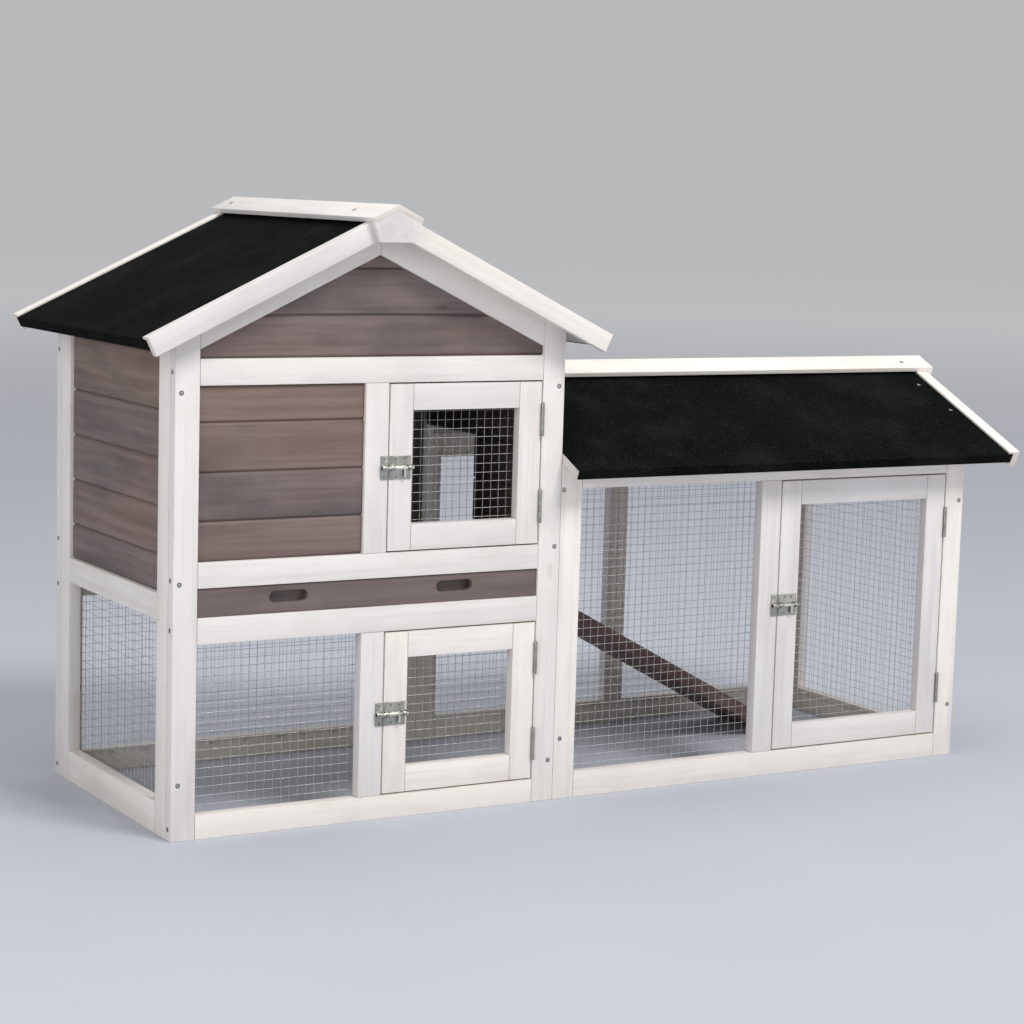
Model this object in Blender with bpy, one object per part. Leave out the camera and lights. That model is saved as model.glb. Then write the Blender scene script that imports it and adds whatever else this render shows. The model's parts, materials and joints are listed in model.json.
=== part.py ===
"""Two-storey timber rabbit hutch with a low covered run on its right-hand side.

Metres, +Z up. The hutch faces -Y, the run is at +X, and the ground is z = 0.
"""
import math

import bmesh
import bpy
from mathutils import Vector

for old in list(bpy.data.objects):
    bpy.data.objects.remove(old, do_unlink=True)

# ---------------------------------------------------------------- overall sizes
HOUSE_W = 0.600          # house, across the front
RUN_W = 0.750            # run, across the front
DEPTH = 0.444            # house and run, front face to back face
FIT = 0.0003             # gap left between pieces that touch

# ---------------------------------------------------------------- timber sections
FRAME_T = 0.018          # thickness of every wall frame
STILE = 0.0355           # width of the corner stiles and gable rafters
MULLION = 0.036          # upright between a panel and its door
SIDE_STILE = 0.0375      # uprights of the two side frames
BOARD_T = 0.008          # tongued boards
BOARD_SET = 0.005        # boards behind the face of their frame
GROOVE = 0.0022          # depth of the V between two boards
MESH_T = 0.001           # welded wire mesh, as a plain sheet
MESH_LAP = 0.010         # mesh lapping onto the back of its frame

# ---------------------------------------------------------------- house heights, from the ground up
BOTTOM_RAIL = 0.034
LOWER_BAY = 0.234
TRAY_RAIL = 0.036
TRAY_SLOT = 0.040
FLOOR_RAIL = 0.035
UPPER_BAY = 0.237
TOP_RAIL = 0.0355
EAVE_RISE = 0.0355       # top rail to the underside of the roof at the side wall
SIDE_BOTTOM_RAIL = 0.045
SIDE_MID_DROP = 0.008    # underside of the side frames' middle rail, below the tray slot
SIDE_MID_RAIL = 0.0365
SIDE_TOP_RAIL = 0.0295
HOUSE_DOOR_BAY = 0.247   # both house doors' opening, at the right

# ---------------------------------------------------------------- run
RUN_BOTTOM_RAIL = 0.0375
RUN_BAY = 0.420
RUN_TOP_RAIL = 0.0385
RUN_DOOR_BAY = 0.3215

# ---------------------------------------------------------------- roofs
HOUSE_PITCH = 25.6
RUN_PITCH = 24.5
HOUSE_EAVE = 0.0547      # side wall to the outermost corner of the eave
RUN_EAVE = 0.0515
HOUSE_GABLE_OVER = 0.0397   # front face to the outer face of the barge boards
RUN_GABLE_OVER = 0.0684     # run's end wall to the outer face of its barge boards
DECK_T = 0.012
FELT_T = 0.003
LIP_T = 0.004            # barge board's flange over the felt
LIP_W = 0.021
BARGE_T = 0.012
BARGE_H = 0.0275
CAP_T = 0.007
CAP_HALF = 0.0383
PLATE_T = 0.010          # end plate under the ridge cap
PLATE_HALF = 0.0264
PLATE_DROP = 0.051       # ridge top to the plate's lower edge
CAP_PROUD = 0.0005

# ---------------------------------------------------------------- doors, hinges and latches
DOOR_T = 0.016
DOOR_STILE = 0.0362
DOOR_RAIL = 0.037
DOOR_GAP = 0.002         # top, bottom and latch side
LEAF_T = 0.0006
HINGE_GAP = 2 * LEAF_T + 3 * FIT
LEAF_W = 0.014
HINGE_LEN = 0.048
KNUCKLE_R = 0.0024
KNUCKLE_OUT = 0.0028     # hinge pin in front of the door's face
PIN_R = 0.001
PIN_CLEAR = 0.0003
LATCH_H = 0.033
LATCH_PLATE_T = 0.001
DOOR_PLATE_W = 0.033
KEEPER_W = 0.0112
GUIDE_W = 0.006
BOLT_R = 0.0025
BOLT_CLEAR = 0.0003
GUIDE_WALL = 0.0012
BOLT_OUT = 0.0046        # bolt's axis in front of the face
BOLT_TAIL = 0.0025       # bolt standing out past its plate
KNOB_R = 0.0022
KNOB_LEN = 0.013
KNOB_FROM_TAIL = 0.013

# ---------------------------------------------------------------- tray and ramp
RUNNER_T = 0.005
RUNNER_BEAR = 0.0085     # runner reaching past the stile, under the tray
TRAY_SIDE_CLEAR = 0.001
TRAY_LIFT = 0.0005       # tray above its slot's lower edge
TRAY_TOP_CLEAR = 0.0012
TRAY_SET = 0.003         # tray front behind the frame's face
TRAY_FRONT_T = 0.012
TRAY_WALL = 0.004
TRAY_FLOOR = 0.003
TRAY_PAN_H = 0.030
TRAY_BACK_CLEAR = 0.012
SLOT_W = 0.058
SLOT_H = 0.016
SLOT_FROM_EDGE = 0.1345  # tray front's end to the middle of a finger slot
SLOT_RISE = 0.022        # tray's underside to the middle of a finger slot
DOORWAY_H = 0.1825       # doorway in the right-hand wall, above the middle rail
DOORWAY_CLEAR = 0.001    # doorway's front edge in front of the ramp
RAMP_W = 0.148
RAMP_T = 0.021
RAMP_BEHIND = 0.060      # ramp's back edge to the back of the hutch
RAMP_RISE = 0.008        # ramp's pivot above the tray slot's lower edge
RAMP_ANGLE = 28.4
RAMP_CLEAR = 0.0125      # ramp's pivot from the wall
CLEAT_H = 0.003
CLEAT_W = 0.012
CLEAT_SET = 0.026
CLEAT_COUNT = 9

# ---------------------------------------------------------------- levels and lines worked out from them
LOWER_TOP = BOTTOM_RAIL + LOWER_BAY
SLOT_LOW = LOWER_TOP + TRAY_RAIL
SLOT_TOP = SLOT_LOW + TRAY_SLOT
UPPER_LOW = SLOT_TOP + FLOOR_RAIL
UPPER_TOP = UPPER_LOW + UPPER_BAY
GABLE_LOW = UPPER_TOP + TOP_RAIL
HOUSE_WALL_TOP = GABLE_LOW + EAVE_RISE
SIDE_MID_LOW = SLOT_LOW - SIDE_MID_DROP
SIDE_MID_TOP = SIDE_MID_LOW + SIDE_MID_RAIL
SIDE_TOP = HOUSE_WALL_TOP - FIT
SIDE_BAY_TOP = SIDE_TOP - SIDE_TOP_RAIL
DOORWAY_TOP = SIDE_MID_TOP + DOORWAY_H
RAMP_TOP = SLOT_LOW + RAMP_RISE
RAMP_FRONT = DEPTH - RAMP_BEHIND - RAMP_W
DOORWAY_FRONT = RAMP_FRONT - DOORWAY_CLEAR
RUN_BAY_TOP = RUN_BOTTOM_RAIL + RUN_BAY
RUN_WALL_TOP = RUN_BAY_TOP + RUN_TOP_RAIL
RUN_X1 = HOUSE_W + RUN_W
SIDE_Y0 = FRAME_T + FIT
SIDE_Y1 = DEPTH - FRAME_T - FIT
HOUSE_DOOR_X1 = HOUSE_W - STILE
HOUSE_DOOR_X0 = HOUSE_DOOR_X1 - HOUSE_DOOR_BAY
HOUSE_MULLION_X0 = HOUSE_DOOR_X0 - MULLION
RUN_DOOR_X1 = RUN_X1 - STILE
RUN_DOOR_X0 = RUN_DOOR_X1 - RUN_DOOR_BAY
RUN_MULLION_X0 = RUN_DOOR_X0 - MULLION
FELT_LOW = DECK_T + FIT
FELT_TOP = FELT_LOW + FELT_T
LIP_TOP = FELT_TOP + FIT + LIP_T
CAP_LOW = LIP_TOP + FIT
CAP_TOP = CAP_LOW + CAP_T

X_MAX = RUN_X1 + RUN_GABLE_OVER + FIT + PLATE_T + CAP_PROUD
SHIFT = Vector((-(X_MAX - HOUSE_EAVE) / 2, -DEPTH / 2, 0.0))


# ---------------------------------------------------------------- materials
def make_material(name, colour, roughness, metallic=0.0):
    material = bpy.data.materials.new(name)
    material.use_nodes = True
    shader = material.node_tree.nodes["Principled BSDF"]
    shader.inputs["Base Color"].default_value = (*colour, 1.0)
    shader.inputs["Roughness"].default_value = roughness
    shader.inputs["Metallic"].default_value = metallic
    return material


COLOURS = {
    "white_timber": ((0.80, 0.77, 0.73), 0.60, 0.0),
    "taupe_boards": ((0.20, 0.14, 0.12), 0.65, 0.0),
    "roof_felt": ((0.012, 0.016, 0.014), 0.95, 0.0),
    "wire_mesh": ((0.55, 0.56, 0.57), 0.40, 0.9),
    "zinc": ((0.60, 0.60, 0.58), 0.30, 1.0),
    "taupe_tray": ((0.15, 0.12, 0.115), 0.60, 0.0),
    "red_brown_ramp": ((0.13, 0.06, 0.05), 0.65, 0.0),
}


# ---------------------------------------------------------------- solid builders
def keep(name, bm, colour, pivot=None, parent=None):
    """Turn a bmesh in hutch coordinates into a named object with its own material."""
    bmesh.ops.recalc_face_normals(bm, faces=bm.faces[:])
    origin = Vector(pivot) if pivot else Vector()
    bmesh.ops.translate(bm, verts=bm.verts[:], vec=-origin)
    mesh = bpy.data.meshes.new(name)
    bm.to_mesh(mesh)
    bm.free()
    obj = bpy.data.objects.new(name, mesh)
    bpy.context.scene.collection.objects.link(obj)
    mesh.materials.append(make_material(name, *COLOURS[colour]))
    obj.location = origin + SHIFT
    if parent:
        obj.parent = parent
        obj.location = origin + SHIFT - parent.location
    return obj


def pivot_empty(name, point):
    empty = bpy.data.objects.new(name, None)
    empty.empty_display_size = 0.03
    bpy.context.scene.collection.objects.link(empty)
    empty.location = Vector(point) + SHIFT
    return empty


def to_xyz(axis, a, b, along):
    """A point (a, b) of an outline in the plane square to axis, at the given place along it."""
    return {"X": (along, a, b), "Y": (a, along, b), "Z": (a, b, along)}[axis]


def prism(axis, outline, low, high, holes=()):
    """Extrude an outline with holes along X, Y or Z. Returns a bmesh."""
    bm = bmesh.new()
    for loop in (outline, *holes):
        verts = [bm.verts.new(to_xyz(axis, a, b, low)) for a, b in loop]
        for i, vert in enumerate(verts):
            bm.edges.new((vert, verts[(i + 1) % len(verts)]))
    if holes:
        bmesh.ops.triangle_fill(bm, use_beauty=True, edges=bm.edges[:])
    else:
        bm.faces.new(bm.verts[:])
    cap = bmesh.ops.extrude_face_region(bm, geom=bm.faces[:])
    moved = [item for item in cap["geom"] if isinstance(item, bmesh.types.BMVert)]
    bmesh.ops.translate(bm, verts=moved, vec=to_xyz(axis, 0, 0, high - low))
    bmesh.ops.recalc_face_normals(bm, faces=bm.faces[:])
    return bm


def rect(a0, a1, b0, b1):
    return [(a0, b0), (a1, b0), (a1, b1), (a0, b1)]


def box(x0, x1, y0, y1, z0, z1):
    return prism("Z", rect(x0, x1, y0, y1), z0, z1)


def circle(a, b, radius, count=20, start=0.0):
    return [(a + radius * math.cos(start + math.tau * i / count),
             b + radius * math.sin(start + math.tau * i / count)) for i in range(count)]


def rod(axis, a, b, radius, low, high, count=20):
    return prism(axis, circle(a, b, radius, count), low, high)


def combine(pieces, operation="UNION"):
    """Boolean the first bmesh with all the others, and return one bmesh."""
    objs = []
    for bm in pieces:
        mesh = bpy.data.meshes.new("working")
        bm.to_mesh(mesh)
        bm.free()
        obj = bpy.data.objects.new("working", mesh)
        bpy.context.scene.collection.objects.link(obj)
        objs.append(obj)
    for other in objs[1:]:
        mod = objs[0].modifiers.new("join", "BOOLEAN")
        mod.operation = operation
        mod.solver = "EXACT"
        mod.object = other
    graph = bpy.context.evaluated_depsgraph_get()
    result = bmesh.new()
    result.from_mesh(objs[0].evaluated_get(graph).to_mesh())
    for obj in objs:
        bpy.data.objects.remove(obj, do_unlink=True)
    bmesh.ops.dissolve_degenerate(result, dist=1e-6, edges=result.edges[:])
    return result


def cut_by(bm, *cutters):
    return combine([bm, *cutters], "DIFFERENCE")


def boards(axis, low, high, face, z0, z1, grooves, outline=None, cutters=()):
    """A tongued board wall: a profile with a V on both faces at each groove, run along axis.

    face is the place of its outer face in the wall's thickness; boards run along axis.
    """
    grooves = [z for z in sorted(grooves) if z0 + 0.006 < z < z1 - 0.006]
    outer = [(face, z0)]
    for z in grooves:
        outer += [(face, z - GROOVE), (face + GROOVE, z), (face, z + GROOVE)]
    outer.append((face, z1))
    inner = [(2 * face + BOARD_T - a, z) for a, z in reversed(outer)]
    bm = prism(axis, outer + inner, low, high)
    if outline:
        other = "Y" if axis == "X" else "X"
        keeper = prism(other, outline, face - 0.01, face + BOARD_T + 0.01)
        bm = combine([bm, keeper], "INTERSECT")
    return cut_by(bm, *cutters) if cutters else bm


# ---------------------------------------------------------------- roof geometry
class Roof:
    """A pair of slopes over a building of the given width. Across runs over the width."""

    def __init__(self, width, wall_top, pitch, eave):
        self.width = width
        self.wall_top = wall_top
        self.tan = math.tan(math.radians(pitch))
        self.sin = math.sin(math.radians(pitch))
        self.cos = math.cos(math.radians(pitch))
        self.start = -eave + LIP_TOP * self.sin

    def at(self, along, height):
        """A point up the slope from the eave's square cut, and square up from the underside."""
        across = self.start + along * self.cos - height * self.sin
        level = self.wall_top + self.start * self.tan + along * self.sin + height * self.cos
        return across, level

    def at_across(self, across, height):
        along = (across - self.start + height * self.sin) / self.cos
        return self.at(along, height)

    def peak(self, height):
        return self.at_across(self.width / 2, height)

    def other(self, point):
        return self.width - point[0], point[1]

    def under(self, across):
        """Level of the roof's underside above a point of the wall."""
        across = min(across, self.width - across)
        return self.wall_top + across * self.tan


HOUSE_ROOF = Roof(HOUSE_W, HOUSE_WALL_TOP, HOUSE_PITCH, HOUSE_EAVE)
RUN_ROOF = Roof(DEPTH, RUN_WALL_TOP, RUN_PITCH, RUN_EAVE)
RAFTER_RISE = STILE / HOUSE_ROOF.cos
RUN_RAFTER_RISE = STILE / RUN_ROOF.cos
DECK_START = FELT_T + FIT


def barge_board(roof, axis, outer, inward, far_side):
    """One barge board: a board on edge with a flange over the felt, mitred at the ridge.

    outer is its outer face along the ridge; inward is +1 or -1, towards the building.
    """
    low = LIP_TOP - BARGE_H
    section = [(0, low), (0, LIP_TOP), (LIP_W, LIP_TOP), (LIP_W, LIP_TOP - LIP_T),
               (BARGE_T, LIP_TOP - LIP_T), (BARGE_T, low)]
    bm = bmesh.new()
    ends = []
    for point in (lambda h: roof.at(0, h), lambda h: roof.at_across(roof.width / 2 - FIT, h)):
        ring = []
        for depth, height in section:
            across, level = roof.other(point(height)) if far_side else point(height)
            along = outer + inward * depth
            ring.append(bm.verts.new((across, along, level) if axis == "Y" else (along, across, level)))
        ends.append(ring)
    for i in range(len(section)):
        j = (i + 1) % len(section)
        bm.faces.new((ends[0][i], ends[0][j], ends[1][j], ends[1][i]))
    bm.faces.new(ends[0])
    bm.faces.new(ends[1])
    return bm


def deck(roof, axis, low, high):
    """The roof boards of both slopes, joined at the ridge."""
    eave = [roof.at(DECK_START, 0), roof.at(DECK_START, DECK_T)]
    outline = [eave[0], roof.peak(0), roof.other(eave[0]), roof.other(eave[1]), roof.peak(DECK_T), eave[1]]
    return prism(axis, outline, low, high)


def felt(roof, axis, low, high):
    """One sheet of felt over both slopes, turned down over both eaves."""
    edge = [roof.at(FELT_T, FELT_LOW), roof.at(FELT_T, 0), roof.at(0, 0), roof.at(0, FELT_TOP)]
    outline = edge + [roof.peak(FELT_TOP)] + [roof.other(p) for p in reversed(edge)] + [roof.peak(FELT_LOW)]
    return prism(axis, outline, low, high)


def ridge_cap(roof, axis, low, high, plates):
    """The folded ridge cap, with a pointed end plate at each place in plates."""
    half = roof.width / 2
    edge = [roof.at_across(half - CAP_HALF, CAP_TOP)]
    along = (edge[0][0] - roof.start + CAP_TOP * roof.sin) / roof.cos
    edge.append(roof.at(along, CAP_LOW))
    outline = [edge[0], roof.peak(CAP_TOP), roof.other(edge[0]),
               roof.other(edge[1]), roof.peak(CAP_LOW), edge[1]]
    pieces = [prism(axis, outline, low, high)]
    middle = (CAP_LOW + CAP_TOP) / 2
    corner = roof.at_across(half - CAP_HALF + 0.001, middle)
    foot = roof.peak(CAP_TOP)[1] - PLATE_DROP
    shape = [corner, roof.peak(middle), roof.other(corner),
             (half + PLATE_HALF, foot), (half - PLATE_HALF, foot)]
    pieces += [prism(axis, shape, place, place + PLATE_T) for place in plates]
    return combine(pieces)


# ---------------------------------------------------------------- house frames
def house_gable_outline():
    return [(0, 0), (HOUSE_W, 0), (HOUSE_W, HOUSE_WALL_TOP - FIT),
            (HOUSE_W / 2, HOUSE_ROOF.under(HOUSE_W / 2) - FIT), (0, HOUSE_WALL_TOP - FIT)]


def gable_hole(low, inset=0.0):
    """The opening inside the gable rafters, above a given level."""
    x0, x1 = STILE + inset, HOUSE_W - STILE - inset
    rise = RAFTER_RISE + FIT + inset / HOUSE_ROOF.cos
    return [(x0, low + inset), (x1, low + inset), (x1, HOUSE_ROOF.under(x1) - rise),
            (HOUSE_W / 2, HOUSE_ROOF.under(HOUSE_W / 2) - rise), (x0, HOUSE_ROOF.under(x0) - rise)]


left_x = (STILE, HOUSE_MULLION_X0)
door_x = (HOUSE_DOOR_X0, HOUSE_DOOR_X1)
full_x = (STILE, HOUSE_W - STILE)

keep("house_front_frame", prism("Y", house_gable_outline(), 0, FRAME_T, [
    rect(*left_x, BOTTOM_RAIL, LOWER_TOP), rect(*door_x, BOTTOM_RAIL, LOWER_TOP),
    rect(*full_x, SLOT_LOW, SLOT_TOP),
    rect(*left_x, UPPER_LOW, UPPER_TOP), rect(*door_x, UPPER_LOW, UPPER_TOP),
    gable_hole(GABLE_LOW)]), "white_timber")
keep("house_front_boards", boards(
    "X", left_x[0] + FIT, left_x[1] - FIT, BOARD_SET, UPPER_LOW + FIT, UPPER_TOP - FIT,
    [UPPER_LOW + 0.054, UPPER_LOW + 0.120, UPPER_LOW + 0.187]), "taupe_boards")
keep("house_front_gable", boards(
    "X", STILE, HOUSE_W - STILE, BOARD_SET, GABLE_LOW, HOUSE_ROOF.under(HOUSE_W / 2),
    [GABLE_LOW + 0.057, GABLE_LOW + 0.121], outline=gable_hole(GABLE_LOW, FIT)), "taupe_boards")
keep("house_front_mesh", prism("Y", rect(
    left_x[0] - MESH_LAP, left_x[1] + MESH_LAP, BOTTOM_RAIL - MESH_LAP, LOWER_TOP + MESH_LAP),
    FRAME_T + FIT, FRAME_T + FIT + MESH_T), "wire_mesh")

keep("house_back_frame", prism("Y", house_gable_outline(), DEPTH - FRAME_T, DEPTH, [
    rect(STILE, HOUSE_W - STILE, BOTTOM_RAIL, LOWER_TOP),
    gable_hole(SLOT_TOP)]), "white_timber")
back_grooves = [SLOT_TOP + 0.067 * i for i in range(1, 7)]
keep("house_back_boards", boards(
    "X", STILE, HOUSE_W - STILE, DEPTH - BOARD_SET - BOARD_T, SLOT_TOP, HOUSE_ROOF.under(HOUSE_W / 2),
    back_grooves, outline=gable_hole(SLOT_TOP, FIT)), "taupe_boards")
keep("house_back_mesh", prism("Y", rect(
    STILE - MESH_LAP, HOUSE_W - STILE + MESH_LAP, BOTTOM_RAIL - MESH_LAP, LOWER_TOP + MESH_LAP),
    DEPTH - FRAME_T - FIT - MESH_T, DEPTH - FRAME_T - FIT), "wire_mesh")


def runner(x0, x1):
    return box(x0, x1, SIDE_Y0 + 0.004, SIDE_Y1 - 0.004, SLOT_LOW - RUNNER_T, SLOT_LOW)


side_bay = (SIDE_Y0 + SIDE_STILE, SIDE_Y1 - SIDE_STILE)
side_grooves = [SIDE_MID_TOP + 0.050 + 0.0655 * i for i in range(4)]
keep("house_left_frame", combine([
    prism("X", rect(SIDE_Y0, SIDE_Y1, 0, SIDE_TOP), 0, FRAME_T, [
        rect(*side_bay, SIDE_BOTTOM_RAIL, SIDE_MID_LOW), rect(*side_bay, SIDE_MID_TOP, SIDE_BAY_TOP)]),
    runner(FRAME_T - 0.002, STILE + RUNNER_BEAR)]), "white_timber")
keep("house_left_boards", boards(
    "Y", side_bay[0] + FIT, side_bay[1] - FIT, BOARD_SET, SIDE_MID_TOP + FIT, SIDE_BAY_TOP - FIT,
    side_grooves), "taupe_boards")
keep("house_left_mesh", prism("X", rect(
    side_bay[0] - MESH_LAP, side_bay[1] + MESH_LAP, SIDE_BOTTOM_RAIL - MESH_LAP, SLOT_LOW - RUNNER_T - FIT),
    FRAME_T + FIT, FRAME_T + FIT + MESH_T), "wire_mesh")

keep("house_right_frame", combine([
    prism("X", rect(SIDE_Y0, SIDE_Y1, SIDE_MID_LOW, SIDE_TOP), HOUSE_W - FRAME_T, HOUSE_W, [
        rect(*side_bay, SIDE_MID_TOP, SIDE_BAY_TOP)]),
    runner(HOUSE_W - STILE - RUNNER_BEAR, HOUSE_W - FRAME_T + 0.002)]), "white_timber")
doorway_cutter = box(HOUSE_W - FRAME_T, HOUSE_W, DOORWAY_FRONT, SIDE_Y1, SIDE_MID_LOW, DOORWAY_TOP)
keep("house_right_boards", boards(
    "Y", side_bay[0] + FIT, side_bay[1] - FIT, HOUSE_W - BOARD_SET - BOARD_T,
    SIDE_MID_TOP + FIT, SIDE_BAY_TOP - FIT, side_grooves, cutters=[doorway_cutter]), "taupe_boards")

# ---------------------------------------------------------------- house roof
DECK_Y0 = -HOUSE_GABLE_OVER + BARGE_T + FIT
DECK_Y1 = DEPTH - DECK_Y0
CAP_Y0 = -HOUSE_GABLE_OVER - FIT - PLATE_T - CAP_PROUD
keep("house_roof", deck(HOUSE_ROOF, "Y", DECK_Y0, DECK_Y1), "white_timber")
keep("house_felt", felt(HOUSE_ROOF, "Y", DECK_Y0, DECK_Y1), "roof_felt")
keep("house_ridge_cap", ridge_cap(HOUSE_ROOF, "Y", CAP_Y0, DEPTH - CAP_Y0, [
    CAP_Y0 + CAP_PROUD, DEPTH - CAP_Y0 - CAP_PROUD - PLATE_T]), "white_timber")
for end, outer, inward in (("front", -HOUSE_GABLE_OVER, 1), ("back", DEPTH + HOUSE_GABLE_OVER, -1)):
    for side, far in (("left", False), ("right", True)):
        keep(f"house_barge_{end}_{side}", barge_board(HOUSE_ROOF, "Y", outer, inward, far), "white_timber")

# ---------------------------------------------------------------- run frames
RUN_TOP = RUN_WALL_TOP - FIT
RUN_X0 = HOUSE_W + FIT
run_left_x = (RUN_X0 + STILE, RUN_MULLION_X0)
run_door_x = (RUN_DOOR_X0, RUN_DOOR_X1)
keep("run_front_frame", prism("Y", rect(RUN_X0, RUN_X1, 0, RUN_TOP), 0, FRAME_T, [
    rect(*run_left_x, RUN_BOTTOM_RAIL, RUN_BAY_TOP), rect(*run_door_x, RUN_BOTTOM_RAIL, RUN_BAY_TOP)]),
    "white_timber")
keep("run_front_mesh", prism("Y", rect(
    run_left_x[0] - MESH_LAP, run_left_x[1] + MESH_LAP, RUN_BOTTOM_RAIL - MESH_LAP, RUN_BAY_TOP + MESH_LAP),
    FRAME_T + FIT, FRAME_T + FIT + MESH_T), "wire_mesh")
run_middle = HOUSE_W + RUN_W / 2
keep("run_back_frame", prism("Y", rect(RUN_X0, RUN_X1, 0, RUN_TOP), DEPTH - FRAME_T, DEPTH, [
    rect(RUN_X0 + STILE, run_middle - MULLION / 2, RUN_BOTTOM_RAIL, RUN_BAY_TOP),
    rect(run_middle + MULLION / 2, RUN_X1 - STILE, RUN_BOTTOM_RAIL, RUN_BAY_TOP)]), "white_timber")
keep("run_back_mesh", prism("Y", rect(
    RUN_X0 + STILE - MESH_LAP, RUN_X1 - STILE + MESH_LAP, RUN_BOTTOM_RAIL - MESH_LAP, RUN_BAY_TOP + MESH_LAP),
    DEPTH - FRAME_T - FIT - MESH_T, DEPTH - FRAME_T - FIT), "wire_mesh")

end_outline = [(SIDE_Y0, 0), (SIDE_Y1, 0), (SIDE_Y1, RUN_ROOF.under(SIDE_Y1) - FIT),
               (DEPTH / 2, RUN_ROOF.under(DEPTH / 2) - FIT), (SIDE_Y0, RUN_ROOF.under(SIDE_Y0) - FIT)]
end_rail_top = RUN_BAY_TOP + STILE
end_peak = RUN_ROOF.under(DEPTH / 2) - RUN_RAFTER_RISE
end_half = (end_peak - end_rail_top) / RUN_ROOF.tan
end_gable = [(DEPTH / 2 - end_half, end_rail_top), (DEPTH / 2 + end_half, end_rail_top),
             (DEPTH / 2, end_peak)]
keep("run_end_frame", prism("X", end_outline, RUN_X1 - FRAME_T, RUN_X1, [
    rect(*side_bay, RUN_BOTTOM_RAIL, RUN_BAY_TOP), end_gable]), "white_timber")
mesh_rise = 0.006
end_mesh = [(side_bay[0] - MESH_LAP, RUN_BOTTOM_RAIL - MESH_LAP),
            (side_bay[1] + MESH_LAP, RUN_BOTTOM_RAIL - MESH_LAP),
            (side_bay[1] + MESH_LAP, RUN_WALL_TOP), (DEPTH / 2, end_peak + mesh_rise),
            (side_bay[0] - MESH_LAP, RUN_WALL_TOP)]
keep("run_end_mesh", prism(
    "X", end_mesh, RUN_X1 - FRAME_T - FIT - MESH_T, RUN_X1 - FRAME_T - FIT), "wire_mesh")

# ---------------------------------------------------------------- run roof
RUN_DECK_X1 = RUN_X1 + RUN_GABLE_OVER - BARGE_T - FIT
keep("run_roof", deck(RUN_ROOF, "X", RUN_X0, RUN_DECK_X1), "white_timber")
keep("run_felt", felt(RUN_ROOF, "X", RUN_X0, RUN_DECK_X1), "roof_felt")
keep("run_ridge_cap", ridge_cap(RUN_ROOF, "X", RUN_X0, X_MAX, [X_MAX - CAP_PROUD - PLATE_T]), "white_timber")
for side, far in (("front", False), ("back", True)):
    keep(f"run_barge_{side}", barge_board(RUN_ROOF, "X", RUN_X1 + RUN_GABLE_OVER, -1, far), "white_timber")


# ---------------------------------------------------------------- doors
def guide_section(z, out):
    """Plate with a raised round guide, seen along the bolt, and the hole through it."""
    radius = BOLT_R + BOLT_CLEAR + GUIDE_WALL
    half = LATCH_H / 2
    arch = [(-BOLT_OUT - radius * math.sin(t), z + radius * math.cos(t))
            for t in (math.pi * i / 10 for i in range(11))]
    section = [(-FIT - LATCH_PLATE_T, z + radius)] + arch + [(-FIT - LATCH_PLATE_T, z - radius)]
    section = [(-FIT - LATCH_PLATE_T, z + half)] + section + [(-FIT - LATCH_PLATE_T, z - half),
                                                             (-FIT, z - half), (-FIT, z + half)]
    return section, circle(-BOLT_OUT, z, BOLT_R + BOLT_CLEAR, 16, start=out)


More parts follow.
